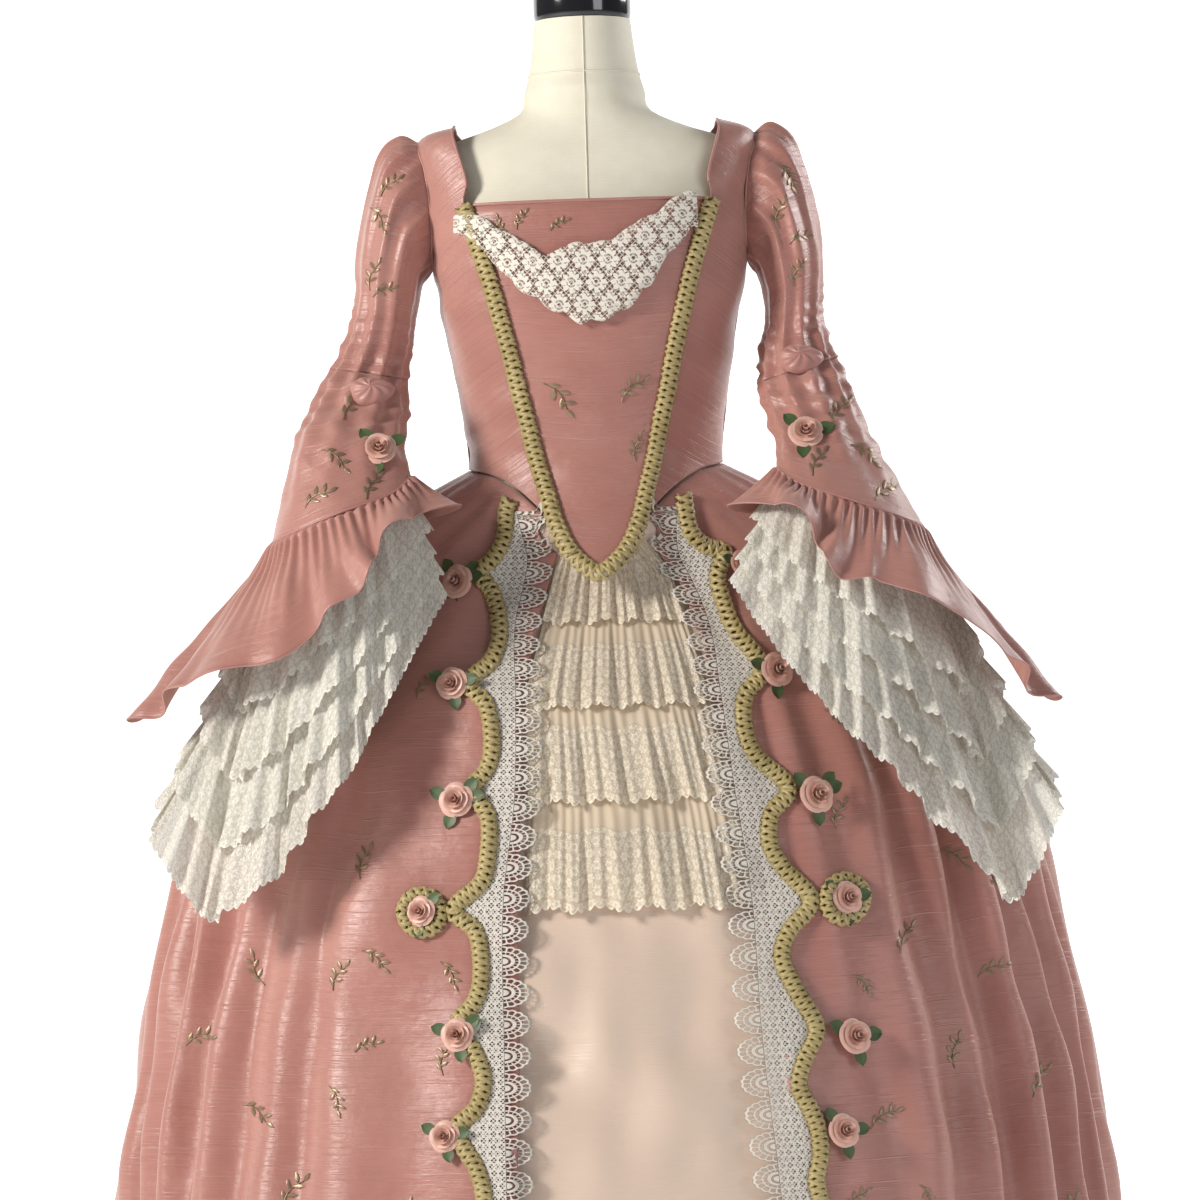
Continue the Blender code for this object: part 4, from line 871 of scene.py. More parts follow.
def front_at(x: np.ndarray, z: np.ndarray) -> np.ndarray:
    """Front points of the body with this x and height.

    Args:
        x: Across.
        z: The height.

    Returns:
        The points.
    """
    wide, front, power = (curve_through(BODY[:, 0], BODY[:, k], z) for k in (1, 2, 4))
    share = np.clip(np.abs(x / wide), 0, 0.999)
    return np.stack([x, -front * (1 - share**power) ** (1 / power), z], axis=-1)


def stomacher_half(z: np.ndarray) -> np.ndarray:
    """Half width of the stomacher at a height.

    Args:
        z: The height.

    Returns:
        The half widths.
    """
    table = np.array(STOMACHER, float)
    return np.interp(z, table[:, 0], table[:, 1])


def armhole_edge(turn: np.ndarray) -> np.ndarray:
    """The armhole's edge: 0 at the underarm, 1 at the shoulder, towards the front for turn > 0 and the

    back for turn < 0, as a point near the body.

    Args:
        turn: Shares of half the edge.

    Returns:
        The points.
    """
    middle, tall, deep = ARMHOLE
    angle = np.pi * np.abs(turn)
    y = -np.sign(turn) * deep * np.sin(angle)
    z = middle - tall * np.cos(angle)
    x = np.interp(z, [UNDERARM_Z, 1384], [UNDERARM_HALF, STRAP_OUTER])
    return np.stack([x, y, z], axis=-1)


def side_seam(y: float) -> np.ndarray:
    """The bodice's side seam, from the waist to the underarm.

    Args:
        y: How far behind the middle.

    Returns:
        The points.
    """
    wide, tall = UNDERARM_HALF - WAIST_HALF, UNDERARM_Z - WAIST_Z
    return np.array([(WAIST_HALF + wide * t, y, WAIST_Z + tall * t) for t in np.linspace(0, 1, 12)])


def stomacher_points(columns: int, out: float = 0.0) -> np.ndarray:
    """The stomacher's face from its tip to the neckline.

    Args:
        columns: How many columns.
        out: How far out.

    Returns:
        The points.
    """
    z = np.array([TIP_Z, *TIP_ROWS, *SEAM_ROWS])
    s = np.linspace(-1, 1, columns)
    half = np.maximum(stomacher_half(z), 2) - SEAM / MM / 2
    x = half[:, None] * s[None, :]
    return on_body(front_at(x, np.broadcast_to(z[:, None], x.shape)), out)


def side_front_points(side: int, rows: int, columns: int) -> np.ndarray:
    """One side front with its shoulder strap, from the stomacher seam to the side seam.

    Args:
        side: -1 or 1.
        rows: How many rows.
        columns: How many columns.

    Returns:
        The points.
    """
    height = np.array([991.0, *SEAM_ROWS])
    seam = front_at(stomacher_half(height) + SEAM / MM, height)
    strap = [(122.5, -84, 1330), (127, -62, 1362), (130, -32, 1384), (STRAP_INNER, -0.8, 1393)]
    left = np.concatenate([seam, along(np.array([seam[-1], *strap]), rows - len(seam) + 1)[1:]])
    low = side_seam(-0.6)
    arm = armhole_edge(np.linspace(0.02, 0.99, 30))
    right = along(np.concatenate([low, arm]), rows)
    bottom = np.array([front_at(np.array(float(x)), np.array(float(z))) for x, z in WAIST_SEAM])
    bottom[-1] = right[0]
    bottom = along(bottom, columns)
    bottom[0], top = left[0], along(np.array([left[-1], right[-1]]), columns)
    points = on_body(patch(bottom, top, left, right))
    points[..., 0] *= side
    return points if side > 0 else points[:, ::-1]


def back_points(side: int, rows: int, columns: int) -> np.ndarray:
    """One back panel, from the centre back seam to the side seam, up to the shoulder.

    Args:
        side: -1 or 1.
        rows: How many rows.
        columns: How many columns.

    Returns:
        The points.
    """
    height = np.linspace(WAIST_Z, BACK_NECK_Z, 20)
    left = along(np.stack([np.full(20, 0.2), np.full(20, 90.0), height], axis=-1), rows)
    low = side_seam(0.6)
    arm = armhole_edge(-np.linspace(0.02, 0.99, 30))
    right = along(np.concatenate([low, arm]), rows)
    waist = [(WAIST_HALF * math.sin(a), WAIST_BACK * math.cos(a), WAIST_Z)
             for a in np.linspace(0, np.pi / 2, 20)]
    bottom = along(np.array(waist), columns)
    top = along(np.array([(0.2, 80, BACK_NECK_Z), (70, 76, BACK_NECK_Z + 4), (112, 58, 1366), (127, 30, 1384),
                          (STRAP_INNER, 0.8, 1393), (STRAP_OUTER, 0.8, 1384)]), columns)
    left[0], bottom[-1], top[-1] = bottom[0], right[0], right[-1]
    left[-1] = top[0]
    points = on_body(patch(bottom, top, left, right))
    points[..., 0] = np.maximum(points[..., 0], 0.15) * side
    return points if side < 0 else points[:, ::-1]


def seam_height(angle: np.ndarray) -> np.ndarray:
    """Height of the waist seam at a turn from the front.

    Args:
        angle: The turn from the front.

    Returns:
        The heights.
    """
    x = np.abs(np.sin(angle)) * WAIST_HALF
    table = np.array(WAIST_SEAM, float)
    front = np.interp(x, table[:, 0], table[:, 1])
    front = front - 5 * np.clip(1 - x / 70, 0, 1)
    return np.where(np.cos(angle) > 0, front, WAIST_Z)


def skirt_at(angle: np.ndarray, z: np.ndarray, inside_side: float = 0.0,
             inside_front: float = 0.0) -> np.ndarray:
    """The skirt's smooth shape at a turn from the front and a height.

    Args:
        angle: The turn from the front.
        z: The height.
        inside_side: How far inside at the sides.
        inside_front: How far inside at the front.

    Returns:
        The points.
    """
    sections = [curve_through(SKIRT[:, 0], SKIRT[:, k], z) for k in (1, 2, 3)]
    wide = sections[0] - inside_side
    deep = np.where(np.cos(angle) > 0, sections[1] - inside_front, sections[2] - inside_side)
    x = wide * np.sign(np.sin(angle)) * np.abs(np.sin(angle)) ** (2 / SKIRT_SQUARE)
    y = -deep * np.sign(np.cos(angle)) * np.abs(np.cos(angle)) ** (2 / SKIRT_SQUARE)
    return np.stack([x, y, np.broadcast_to(z, x.shape)], axis=-1)


def skirt_turn(x: np.ndarray, z: np.ndarray) -> np.ndarray:
    """The turn from the front at which the skirt has this x, at this height.

    Args:
        x: Across.
        z: The height.

    Returns:
        The turns.
    """
    wide = curve_through(SKIRT[:, 0], SKIRT[:, 1], z)
    return np.arcsin(np.clip(np.abs(x) / wide, 0, 1) ** (SKIRT_SQUARE / 2)) * np.sign(x)


def fold_depth(angle: np.ndarray, z: np.ndarray) -> np.ndarray:
    """How far the folds draw the skirt in at a turn and a height.

    Args:
        angle: The turn from the front.
        z: The height.

    Returns:
        The depths.
    """
    turn = np.degrees(np.abs(angle))
    drop = (WAIST_Z - z) / (WAIST_Z - HEM_Z)
    depth = np.zeros(np.broadcast(angle, z).shape)
    for side, hip, hem, deep, half, top in FOLDS:
        middle = hip + (hem - hip) * drop
        fade = np.clip((top - z) / 260, 0, 1) ** 0.8
        depth = depth + np.where(angle * side > 0, deep * fade * np.exp(-((turn - middle) / half) ** 2), 0)
    for middle, deep, half in BACK_FOLDS:
        fade = np.clip((1040 - z) / 300, 0, 1) ** 0.8
        where = np.degrees(angle) % 360
        depth = depth + deep * fade * np.exp(-((where - middle) / half) ** 2)
    return depth


def overskirt_smooth(angle: np.ndarray, z: np.ndarray, top: np.ndarray) -> np.ndarray:
    """The overskirt's shape without folds, at a turn and height, with its top at the waist seam.

    Args:
        angle: The turn from the front.
        z: The height.
        top: The waist seam's height.

    Returns:
        The points.
    """
    drop = top - z
    lift = (WAIST_Z - top) * np.clip(1 - drop / (2.2 * SEAM_FADE), 0, 1)
    p = skirt_at(angle, z + lift)
    p[..., 2] = z
    seam = on_body(np.stack([np.sin(angle) * WAIST_HALF, -np.cos(angle) * WAIST_FRONT, top], axis=-1))
    start = skirt_at(angle, top + (WAIST_Z - top))
    start[..., 2] = top
    return p + (seam - start) * (np.clip(1 - drop / SEAM_FADE, 0, 1) ** 2)[..., None]


def overskirt_point(angle: np.ndarray, share: np.ndarray, out: float = 0.0) -> np.ndarray:
    """The overskirt at a turn and a share of the way from the waist seam to the hem, moved out.

    Args:
        angle: The turn from the front.
        share: Shares of the fall.
        out: How far out.

    Returns:
        The points.
    """
    top = seam_height(angle) - SKIRT_GAP
    z = top + (HEM_Z - top) * share
    drop = top - z
    p = overskirt_smooth(angle, z, top)
    away = np.stack([np.sin(angle), -np.cos(angle), np.zeros_like(angle)], axis=-1)
    gathers = 2.0 * np.cos(34 * angle) * np.clip(drop / 30, 0, 1) * np.clip(1 - drop / 130, 0, 1)
    return p + (out - fold_depth(angle, z) - gathers)[..., None] * away


def front_edge_turn(side: int, z: np.ndarray) -> np.ndarray:
    """The turn of the overskirt's front edge at a height.

    Args:
        side: -1 or 1.
        z: The height.

    Returns:
        The turns.
    """
    depth = curve_through(SKIRT[:, 0], SKIRT[:, 2], z)
    nearer = 1 - depth / EYE_DISTANCE
    seen_z = EYE_HEIGHT + (z - EYE_HEIGHT) / nearer
    x = np.interp(seen_z, FRONT_EDGE[:, 0], FRONT_EDGE[:, 1 if side < 0 else 2]) * nearer
    return skirt_turn(x, np.minimum(z + 10, WAIST_Z))


def as_seen(points: np.ndarray) -> np.ndarray:
    """Points whose x and height were read from the front, moved to where they are at their own depth.

    Args:
        points: The points.

    Returns:
        The points.
    """
    points = np.array(points, float)
    nearer = 1 + points[..., 1] / EYE_DISTANCE
    points[..., 0] *= nearer
    points[..., 2] = EYE_HEIGHT + (points[..., 2] - EYE_HEIGHT) * nearer
    return points


def petticoat_point(angle: np.ndarray, share: np.ndarray) -> np.ndarray:
    """The petticoat's face: inside the overskirt, further in at the sides, where the folds reach in.

    Args:
        angle: The turn from the front.
        share: Shares of the fall.

    Returns:
        The points.
    """
    top = seam_height(angle) - SKIRT_GAP
    z = top + (HEM_Z - top) * share
    face = overskirt_smooth(angle, z, top)
    turn = np.degrees(np.abs((angle + np.pi) % (2 * np.pi) - np.pi))
    inset = FRONT_INSET + (SIDE_INSET - FRONT_INSET) * smooth_step((turn - FRONT_TURN) / 10)
    drop = smooth_step((top - z) / 90)
    inset = PETTICOAT_TOP_INSET + (inset - PETTICOAT_TOP_INSET) * drop
    out = np.stack([np.sin(angle), -np.cos(angle), np.zeros_like(angle)], axis=-1)
    return face - inset[..., None] * out


def smooth_step(t: np.ndarray) -> np.ndarray:
    """0 below 0, 1 above 1, smooth between.

    Args:
        t: The values.

    Returns:
        The steps.
    """
    t = np.clip(t, 0, 1)
    return t * t * (3 - 2 * t)


def smooth_line(points: np.ndarray, count: int) -> np.ndarray:
    """A smooth line through points, evenly spaced.

    Args:
        points: The points.
        count: How many.

    Returns:
        The points.
    """
    points = np.asarray(points, float)
    at = np.linspace(0, len(points) - 1, 12 * len(points))
    index = np.arange(len(points))
    return along(np.stack([curve_through(index, points[:, k], at) for k in (0, 1)], axis=-1), count)


def station_ring(station: tuple, columns: int) -> np.ndarray:
    """A sleeve's ring through its outer and inner points, with pleats.

    Args:
        station: The station's sizes.
        columns: How many columns.

    Returns:
        The points.
    """
    outer_x, outer_z, inner_x, inner_z, middle, deep, pleat = station
    turn = np.linspace(0, 2 * np.pi, columns, endpoint=False)
    centre = np.array([(outer_x + inner_x) / 2, middle, (outer_z + inner_z) / 2])
    arm = np.array([(outer_x - inner_x) / 2, 0, (outer_z - inner_z) / 2])
    reach = np.linalg.norm(arm)
    fold = pleat * np.cos(columns / 2 * turn)
    points = (centre + arm * ((1 + fold / reach) * np.cos(turn))[:, None]
              + np.array([0, -1, 0]) * ((deep + fold) * np.sin(turn))[:, None])
    return as_seen(points)


def armhole_ring(columns: int) -> np.ndarray:
    """The sleeve head's ring, just outside the bodice's armhole edge.

    Args:
        columns: How many columns.

    Returns:
        The points.
    """
    turn = np.linspace(0, 2, columns, endpoint=False)
    edge = armhole_edge(np.clip(1 - turn, -0.985, 0.985))
    return on_body(edge) + (HEAD_GAP, 0, 0)


def cuff_ring(word: str, count: int, inset: float = 0.0) -> np.ndarray:
    """The cuff seam, from the inner point round the front.

    Args:
        word: left or right.
        count: How many.
        inset: How far inside.

    Returns:
        The points.
    """
    u = np.arange(count) / count
    ring = ring_through(as_seen(CUFF[word]), u)
    away = ring - ring.mean(axis=0)
    return ring - inset * away / np.linalg.norm(away, axis=1, keepdims=True)


def hanging(ring_top: np.ndarray, ring_hem: np.ndarray, share: np.ndarray) -> tuple[np.ndarray, np.ndarray]:
    """A cloth tube from one ring to another, and the level ways out of it.

    Args:
        ring_top: The upper ring.
        ring_hem: The hem's ring.
        share: Shares of the fall.

    Returns:
        The tube and the ways out of it.
    """
    share = share[:, None, None]
    tube = ring_top[None] * (1 - share) + ring_hem[None] * share
    away = ring_top + ring_hem
    away = away - away.mean(axis=0)
    away[..., 2] = 0
    away = (away / np.linalg.norm(away, axis=1, keepdims=True))[None]
    return tube, away


def flounce_points(word: str, rows: int, columns: int) -> np.ndarray:
    """The pink flounce, with ruffle waves that grow to its hem.

    Args:
        word: left or right.
        rows: How many rows.
        columns: How many columns.

    Returns:
        The points.
    """
    u = np.arange(columns) / columns
    top = cuff_ring(word, columns)
    hem = ring_through(as_seen(FLOUNCE_HEM[word]), u)
    share = np.linspace(0, 1, rows)
    tube, away = hanging(top, hem, share)
    wave = FLOUNCE_WAVE * np.cos(2 * np.pi * CUFF_WAVES * u)[None, :] * (share**1.2)[:, None]
    return tube + wave[..., None] * away


def lace_points(word: str, tier: tuple, columns: int) -> np.ndarray:
    """One lace tier: its head lies under the tier above and its hem stands over the one below.

    Args:
        word: left or right.
        tier: Its top, middle and hem as shares of the fall.
        columns: How many columns.

    Returns:
        The points.
    """
    u = np.arange(columns) / columns
    top = cuff_ring(word, columns, inset=(CLOTH + ON_TOP) / MM + 0.8) - (0, 0, 2.0)
    hem = ring_through(as_seen(LACE_HEM[word]), u)
    shares = np.array(LACE_ROWS)
    tube, away = hanging(top, hem, shares)
    around = np.roll(tube, -1, axis=1) - np.roll(tube, 1, axis=1)
    normal = np.cross(around, np.gradient(tube, axis=0))
    normal /= np.linalg.norm(normal, axis=2, keepdims=True)
    for _ in range(columns // NORMAL_BLUR):
        normal = (np.roll(normal, 1, axis=1) + 2 * normal + np.roll(normal, -1, axis=1)) / 4
    normal /= np.linalg.norm(normal, axis=2, keepdims=True)
    normal *= np.sign((normal * away).sum())
    fall = np.linalg.norm(hem - top, axis=1) / LONG_FALL
    wave = LACE_WAVE * np.clip(fall, 0, 1) ** 2 * np.cos(2 * np.pi * LACE_WAVES * u) * shares[:, None]
    tube = tube + wave[..., None] * normal
    flare = TIER_STEP * np.array([-1.0, 0.0, 1.0])[:, None]
    rows = [LACE_ROWS.index(share) for share in tier]
    return tube[rows] + flare[..., None] * normal[rows]


def finer(grid: np.ndarray, rows: int, columns: int, round_it: bool = False) -> np.ndarray:
    """A smooth surface through a grid's points.

    Args:
        grid: Rows of points.
        rows: Rows in the result.
        columns: Columns in the result.
        round_it: True if the last column meets the first.

    Returns:
        The finer grid.
    """
    at = np.linspace(0, len(grid) - 1, rows)
    tall = curve_rows(grid, at)
    if round_it:
        return np.array([ring_through(row, np.arange(columns) / columns) for row in tall])
    wide = curve_rows(tall.transpose(1, 0, 2), np.linspace(0, grid.shape[1] - 1, columns))
    return wide.transpose(1, 0, 2)


def curve_rows(grid: np.ndarray, at: np.ndarray) -> np.ndarray:
    """A smooth curve through each column of a grid, read at row numbers with fractions.

    Args:
        grid: Rows of points.
        at: The row numbers.

    Returns:
        The points, a row for each number.
    """
    slope = np.gradient(grid, axis=0)
    k = np.clip(at.astype(int), 0, len(grid) - 2)
    t = (at - k)[:, None, None]
    return ((2 * t**3 - 3 * t**2 + 1) * grid[k] + (t**3 - 2 * t**2 + t) * slope[k]
            + (3 * t**2 - 2 * t**3) * grid[k + 1] + (t**3 - t**2) * slope[k + 1])


def normals_of(grid: np.ndarray, round_it: bool = False) -> np.ndarray:
    """Unit normals of a grid, pointing away from its middle.

    Args:
        grid: Rows of points.
        round_it: True if the last column meets the first.

    Returns:
        A normal for each point.
    """
    if round_it:
        around = np.roll(grid, -1, axis=1) - np.roll(grid, 1, axis=1)
    else:
        around = np.gradient(grid, axis=1)
    normal = np.cross(around, np.gradient(grid, axis=0))
    normal /= np.maximum(np.linalg.norm(normal, axis=2, keepdims=True), 1e-9)
    return normal * outward(grid, round_it)


def moved_out(grid: np.ndarray, by: np.ndarray, round_it: bool = False) -> np.ndarray:
    """The grid with each point moved out along its normal.

    Args:
        grid: Rows of points.
        by: How far each point moves.
        round_it: True if the last column meets the first.

    Returns:
        The moved grid.
    """
    return grid + by[..., None] * normals_of(grid, round_it)


def outward(points: np.ndarray, round_it: bool) -> float:
    """1 where the surface's normals point away from the middle of the gown or tube, or else -1.

    Args:
        points: Rows of points.
        round_it: True for a tube.

    Returns:
        The sign.
    """
    across = np.roll(points, -1, axis=1) - points
    down = np.diff(points, axis=0)
    normals = np.cross(across[:-1, :-1], down[:, :-1])
    middle = points.mean(axis=1, keepdims=True) if round_it else points * (0, 0, 1)
    return float(np.sign((normals * (points - middle)[:-1, :-1]).sum()))


def own_coordinates(grid: np.ndarray, round_it: bool) -> tuple[np.ndarray, np.ndarray]:
    """The cloth's own coordinates: along its last row, and up from that row.

    Args:
        grid: Rows of points.
        round_it: True if the last column meets the first.

    Returns:
        Two arrays, with one more column than the grid for a tube.
    """
    full = np.concatenate([grid, grid[:, :1]], axis=1) if round_it else grid
    step = np.linalg.norm(np.diff(full, axis=1), axis=2)
    length = np.concatenate([[0], np.cumsum(step[-1])])
    drop = np.linalg.norm(np.diff(full, axis=0), axis=2)
    up = np.concatenate([np.cumsum(drop[::-1], axis=0)[::-1], np.zeros((1, full.shape[1]))])
    return np.broadcast_to(length, up.shape), up


def flat_area(grid: np.ndarray) -> float:
    """The area of a grid in square metres.

    Args:
        grid: Rows of points.

    Returns:
        The area.
    """
    a, b = grid[1:, :-1] - grid[:-1, :-1], grid[:-1, 1:] - grid[:-1, :-1]
    c, d = grid[1:, :-1] - grid[1:, 1:], grid[:-1, 1:] - grid[1:, 1:]
    twice = np.linalg.norm(np.cross(a, b), axis=2) + np.linalg.norm(np.cross(c, d), axis=2)
    return float(twice.sum() / 2 * MM * MM)


@dataclass
class Piece:
    """A mesh of the scene: what it is made of and which solids it stands for."""

    name: str
    finish: Finish
    nodes: tuple = ()

    def place(self, mesh: bpy.types.Mesh, *more: Finish) -> bpy.types.Object:
        """Link a mesh, let it ride with the body and give it its finishes.

        Args:
            mesh: The mesh.
            *more: Finishes of further material slots.

        Returns:
            The object.
        """
        obj = bpy.data.objects.new(self.name, mesh)
        bpy.context.scene.collection.objects.link(obj)
        for finish in (self.finish, *more):
            mesh.materials.append(finish.material())
        mesh.shade_smooth()
        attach(obj, "root")
        if self.nodes:
            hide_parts(*self.nodes)
        log.info("made %s: %d faces", self.name, len(mesh.polygons))
        return obj


@dataclass
class Sheet(Piece):
    """A sheet of cloth drawn from a grid of points."""

    held: Held = Held.GATHERED
    rests_on: tuple = ()
    thick: float = 1.0
    round_it: bool = False

    def draw(self, grid: np.ndarray, coordinates: tuple | None = None) -> bpy.types.Object:
        """Build the sheet.

        Args:
            grid: Rows of points on its outer face, in millimetres.
            coordinates: The cloth's own coordinates, if not those of the grid.

        Returns:
            The object.
        """
        if outward(grid, self.round_it) > 0:
            order = [(0, 0), (0, 1), (1, 1), (1, 0)]
        else:
            order = [(0, 0), (1, 0), (1, 1), (0, 1)]
        rows, columns = grid.shape[:2]
        last = columns if self.round_it else columns - 1
        j, i = np.meshgrid(np.arange(rows - 1), np.arange(last), indexing="ij")
        corners = np.stack([(j + a) * columns + (i + b) % columns for a, b in order], axis=-1).reshape(-1, 4)
        along, up = coordinates or own_coordinates(grid, self.round_it)
        reads = [np.stack([along[j + a, i + b], up[j + a, i + b]], axis=-1) for a, b in order]
        mesh = bpy.data.meshes.new(self.name)
        mesh.from_pydata((grid.reshape(-1, 3) * MM).tolist(), [], corners.tolist())
        layer = mesh.uv_layers.new(name="flat")
        layer.data.foreach_set("uv", np.stack(reads, axis=2).reshape(-1).astype(np.float32))
        obj = self.place(mesh)
        if self.thick:
            shell = obj.modifiers.new("thickness", "SOLIDIFY")
            shell.thickness = self.thick * MM
            shell.offset = -1.0
        full = np.concatenate([grid, grid[:, :1]], axis=1) if self.round_it else grid
        wide = np.linalg.norm(np.diff(full, axis=1), axis=2).sum(axis=1).max() * MM
        tall = np.linalg.norm(np.diff(full, axis=0), axis=2).sum(axis=0).max() * MM
        area = flat_area(full)
        tall = min(max(tall, 1.01 * area / wide), area / wide / 0.32)
        return obj


class Facets:
    """A fine panel's faces, for laying trim on it."""

    def __init__(self, *grids: np.ndarray) -> None:
        """Take in the panels.

        Args:
            *grids: Their rows of points.
        """
        corners, faces = [], []
        for grid in grids:
            rows, columns = grid.shape[:2]
            first = len(corners)
            corners += [Vector(p) for p in grid.reshape(-1, 3)]
            for j in range(rows - 1):
                for i in range(columns - 1):
                    k = first + j * columns + i
                    faces.append((k, k + 1, k + columns + 1, k + columns))
        self.tree = BVHTree.FromPolygons(corners, faces)

    def under(self, x: np.ndarray, z: np.ndarray, otherwise: np.ndarray | None = None) -> np.ndarray:
        """The foremost point of the panels at each x and height.

        Args:
            x: Across.
            z: Height.
            otherwise: Points used where nothing lies under.

        Returns:
            The points.
        """
        shape = np.broadcast(x, z).shape
        xs, zs = (np.broadcast_to(a, shape).ravel() for a in (x, z))
        found = []
        for i, (a, b) in enumerate(zip(xs, zs)):
            hit = self.tree.ray_cast(Vector((a, -2000, b)), Vector((0, 1, 0)))[0]
            if hit is None:
                nearest = self.tree.find_nearest(Vector((a, -150, b)))[0]
                hit = nearest if otherwise is None else otherwise.reshape(-1, 3)[i]
            found.append(tuple(hit))
        return np.array(found).reshape(*shape, 3)


class Shape:
    """Loose parts that are joined into one mesh."""

    def __init__(self) -> None:
        """Start empty."""
        self.points: list = []
        self.faces: list = []
        self.slots: list = []

    def grid(self, points: np.ndarray, slot: int = 0, round_it: bool = False) -> None:
        """Add a surface from rows of points.

        Args:
            points: The rows.
            slot: Its material slot.
            round_it: True if the last column meets the first.
        """
        rows, columns = points.shape[:2]
        first = len(self.points)
        self.points += points.reshape(-1, 3).tolist()
        last = columns if round_it else columns - 1
        for j in range(rows - 1):
            for i in range(last):
                k = (i + 1) % columns
                a, b = first + j * columns, first + (j + 1) * columns
                self.faces.append((a + i, a + k, b + k, b + i))
                self.slots.append(slot)

    def tube(self, line: np.ndarray, radius: float | np.ndarray, sides: int = 6, slot: int = 0) -> None:
        """Add a round cord along a line.

        Args:
            line: Its middle points.
            radius: Its radius, or one for each point.
            sides: How many sides it has.
            slot: Its material slot.
        """
        step = np.gradient(line, axis=0)
        step /= np.maximum(np.linalg.norm(step, axis=1, keepdims=True), 1e-9)
        first = np.cross(step, (0.3, 0.2, 1.0))
        first /= np.maximum(np.linalg.norm(first, axis=1, keepdims=True), 1e-9)
        second = np.cross(step, first)
        turn = np.arange(sides) * 2 * np.pi / sides
        radius = np.broadcast_to(radius, (len(line),))[:, None, None]
        ring = first[:, None] * np.cos(turn)[None, :, None] + second[:, None] * np.sin(turn)[None, :, None]
        self.grid(line[:, None] + radius * ring, slot, round_it=True)

    def mesh(self, name: str) -> bpy.types.Mesh:
        """The joined mesh.

        Args:
            name: Its name.

        Returns:
            The mesh.
        """
        made = bpy.data.meshes.new(name)
        made.from_pydata((np.array(self.points) * MM).tolist(), [], self.faces)
        made.polygons.foreach_set("material_index", self.slots)
        return made


FLIP = {Side.LEFT: np.array([-1, 1, 1]), Side.RIGHT: np.array([1, 1, 1])}


def rows_between(count: int) -> np.ndarray:
    """Shares of the skirt's drop, spaced as the solids' rows are.

    Args:
        count: How many.

    Returns:
        The shares.
    """
    return np.interp(np.linspace(0, len(SKIRT_ROWS) - 1, count), np.arange(len(SKIRT_ROWS)), SKIRT_ROWS)


def rumple(grid: np.ndarray, seed: int, size: float, deep: float) -> np.ndarray:
    """Small uneven drag wrinkles over a grid.

    Args:
        grid: Rows of points.
        seed: Which wrinkles.
        size: Their length.
        deep: Their depth.

    Returns:
        How far each point moves.
    """
    numbers = np.random.default_rng(seed)
    total = np.zeros(grid.shape[:2])
    for _ in range(7):
        way = numbers.normal(size=3) * (0.5, 0.5, 1.4)
        way /= np.linalg.norm(way) * size * numbers.uniform(0.6, 1.6)
        bend = numbers.normal(size=3) / (size * 3.2)
        phase = numbers.uniform(0, 2 * np.pi)
        total += np.sin(grid @ way * 2 * np.pi + phase + 1.4 * np.sin(grid @ bend * 2 * np.pi))
    return deep * total / 3.0


@dataclass
class DressForm:
    """The limbless form: linen torso and neck, glossy cap, pole and base."""

    columns: int = 96
    rows: int = 100

    def build(self, frame: dict) -> None:
        """Draw the form.

        Args:
            frame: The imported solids.
        """
        rings = [(z, w, f, b, 2.0) for z, w, f, b in FORM_HIPS]
        for z in (1050, 1110, 1175, 1250, 1306, 1347, 1366, 1377, 1386, 1398, 1412):
            section = [float(curve_through(BODY[:, 0], BODY[:, k], z)) for k in (1, 2, 3, 4)]
            inset = SHOULDER_INSET if z > SHOULDER_Z else FORM_INSET
            rings.append((z - inset + 2.5, *(size - inset for size in section[:3]), section[3]))
        rings += [(z, w, f, b, 2.0) for z, w, f, b in FORM_NECK]
        table = np.array(rings)
        z = np.linspace(table[0, 0], table[-1, 0], self.rows)
        wide, front, back, power = (curve_through(table[:, 0], table[:, k], z)[:, None] for k in (1, 2, 3, 4))
        angle = np.linspace(0, 2 * np.pi, self.columns, endpoint=False)[None, :]
        x = wide * np.sign(np.sin(angle)) * np.abs(np.sin(angle)) ** (2 / power)
        deep = np.where(np.cos(angle) > 0, front, back)
        y = -deep * np.sign(np.cos(angle)) * np.abs(np.cos(angle)) ** (2 / power)
        grid = np.stack([x, y, np.broadcast_to(z[:, None], x.shape)], axis=-1)
        shape = Shape()
        shape.grid(grid, round_it=True)
        for end in (0, -1):
            middle = np.broadcast_to(grid[end].mean(axis=0), grid[end].shape)
            shape.grid(np.stack([grid[end], middle]), round_it=True)
        front_line = grid[(z > 1240), 0] + (0, -0.5, 0)
        shape.tube(front_line, 0.8)
        neck = np.argmin(np.abs(z - 1437))
        shape.tube(np.concatenate([grid[neck], grid[neck][:2]]) * (1.008, 1.008, 1), 0.9)
        Piece("torso", LINEN, ("form_torso",)).place(shape.mesh("torso"))
        turn = np.linspace(0, 2 * np.pi, 64, endpoint=False)
        profile = [(0.1, CAP_TOP), (CAP_RADIUS - 6, CAP_TOP), (CAP_RADIUS - 2, CAP_TOP - 0.8),
                   (CAP_RADIUS - 0.4, CAP_TOP - 3),
                   (CAP_RADIUS, CAP_TOP - 6), (CAP_RADIUS, CAP_TOP - 24), (CAP_RADIUS - 0.8, 1496),
                   (CAP_RADIUS - 2, CAP_BOTTOM)]
        cap = Shape()
        rings = [[(r * math.sin(a), r * math.cos(a), h) for a in turn] for r, h in profile]
        cap.grid(np.array(rings), round_it=True)
        Piece("neck_cap", CAP, ("form_neck_cap",)).place(cap.mesh("neck_cap"))
        for node in ("form_pole", "form_base"):
            frame["nodes"][node].data.materials.clear()
            frame["nodes"][node].data.materials.append(STAND.material())


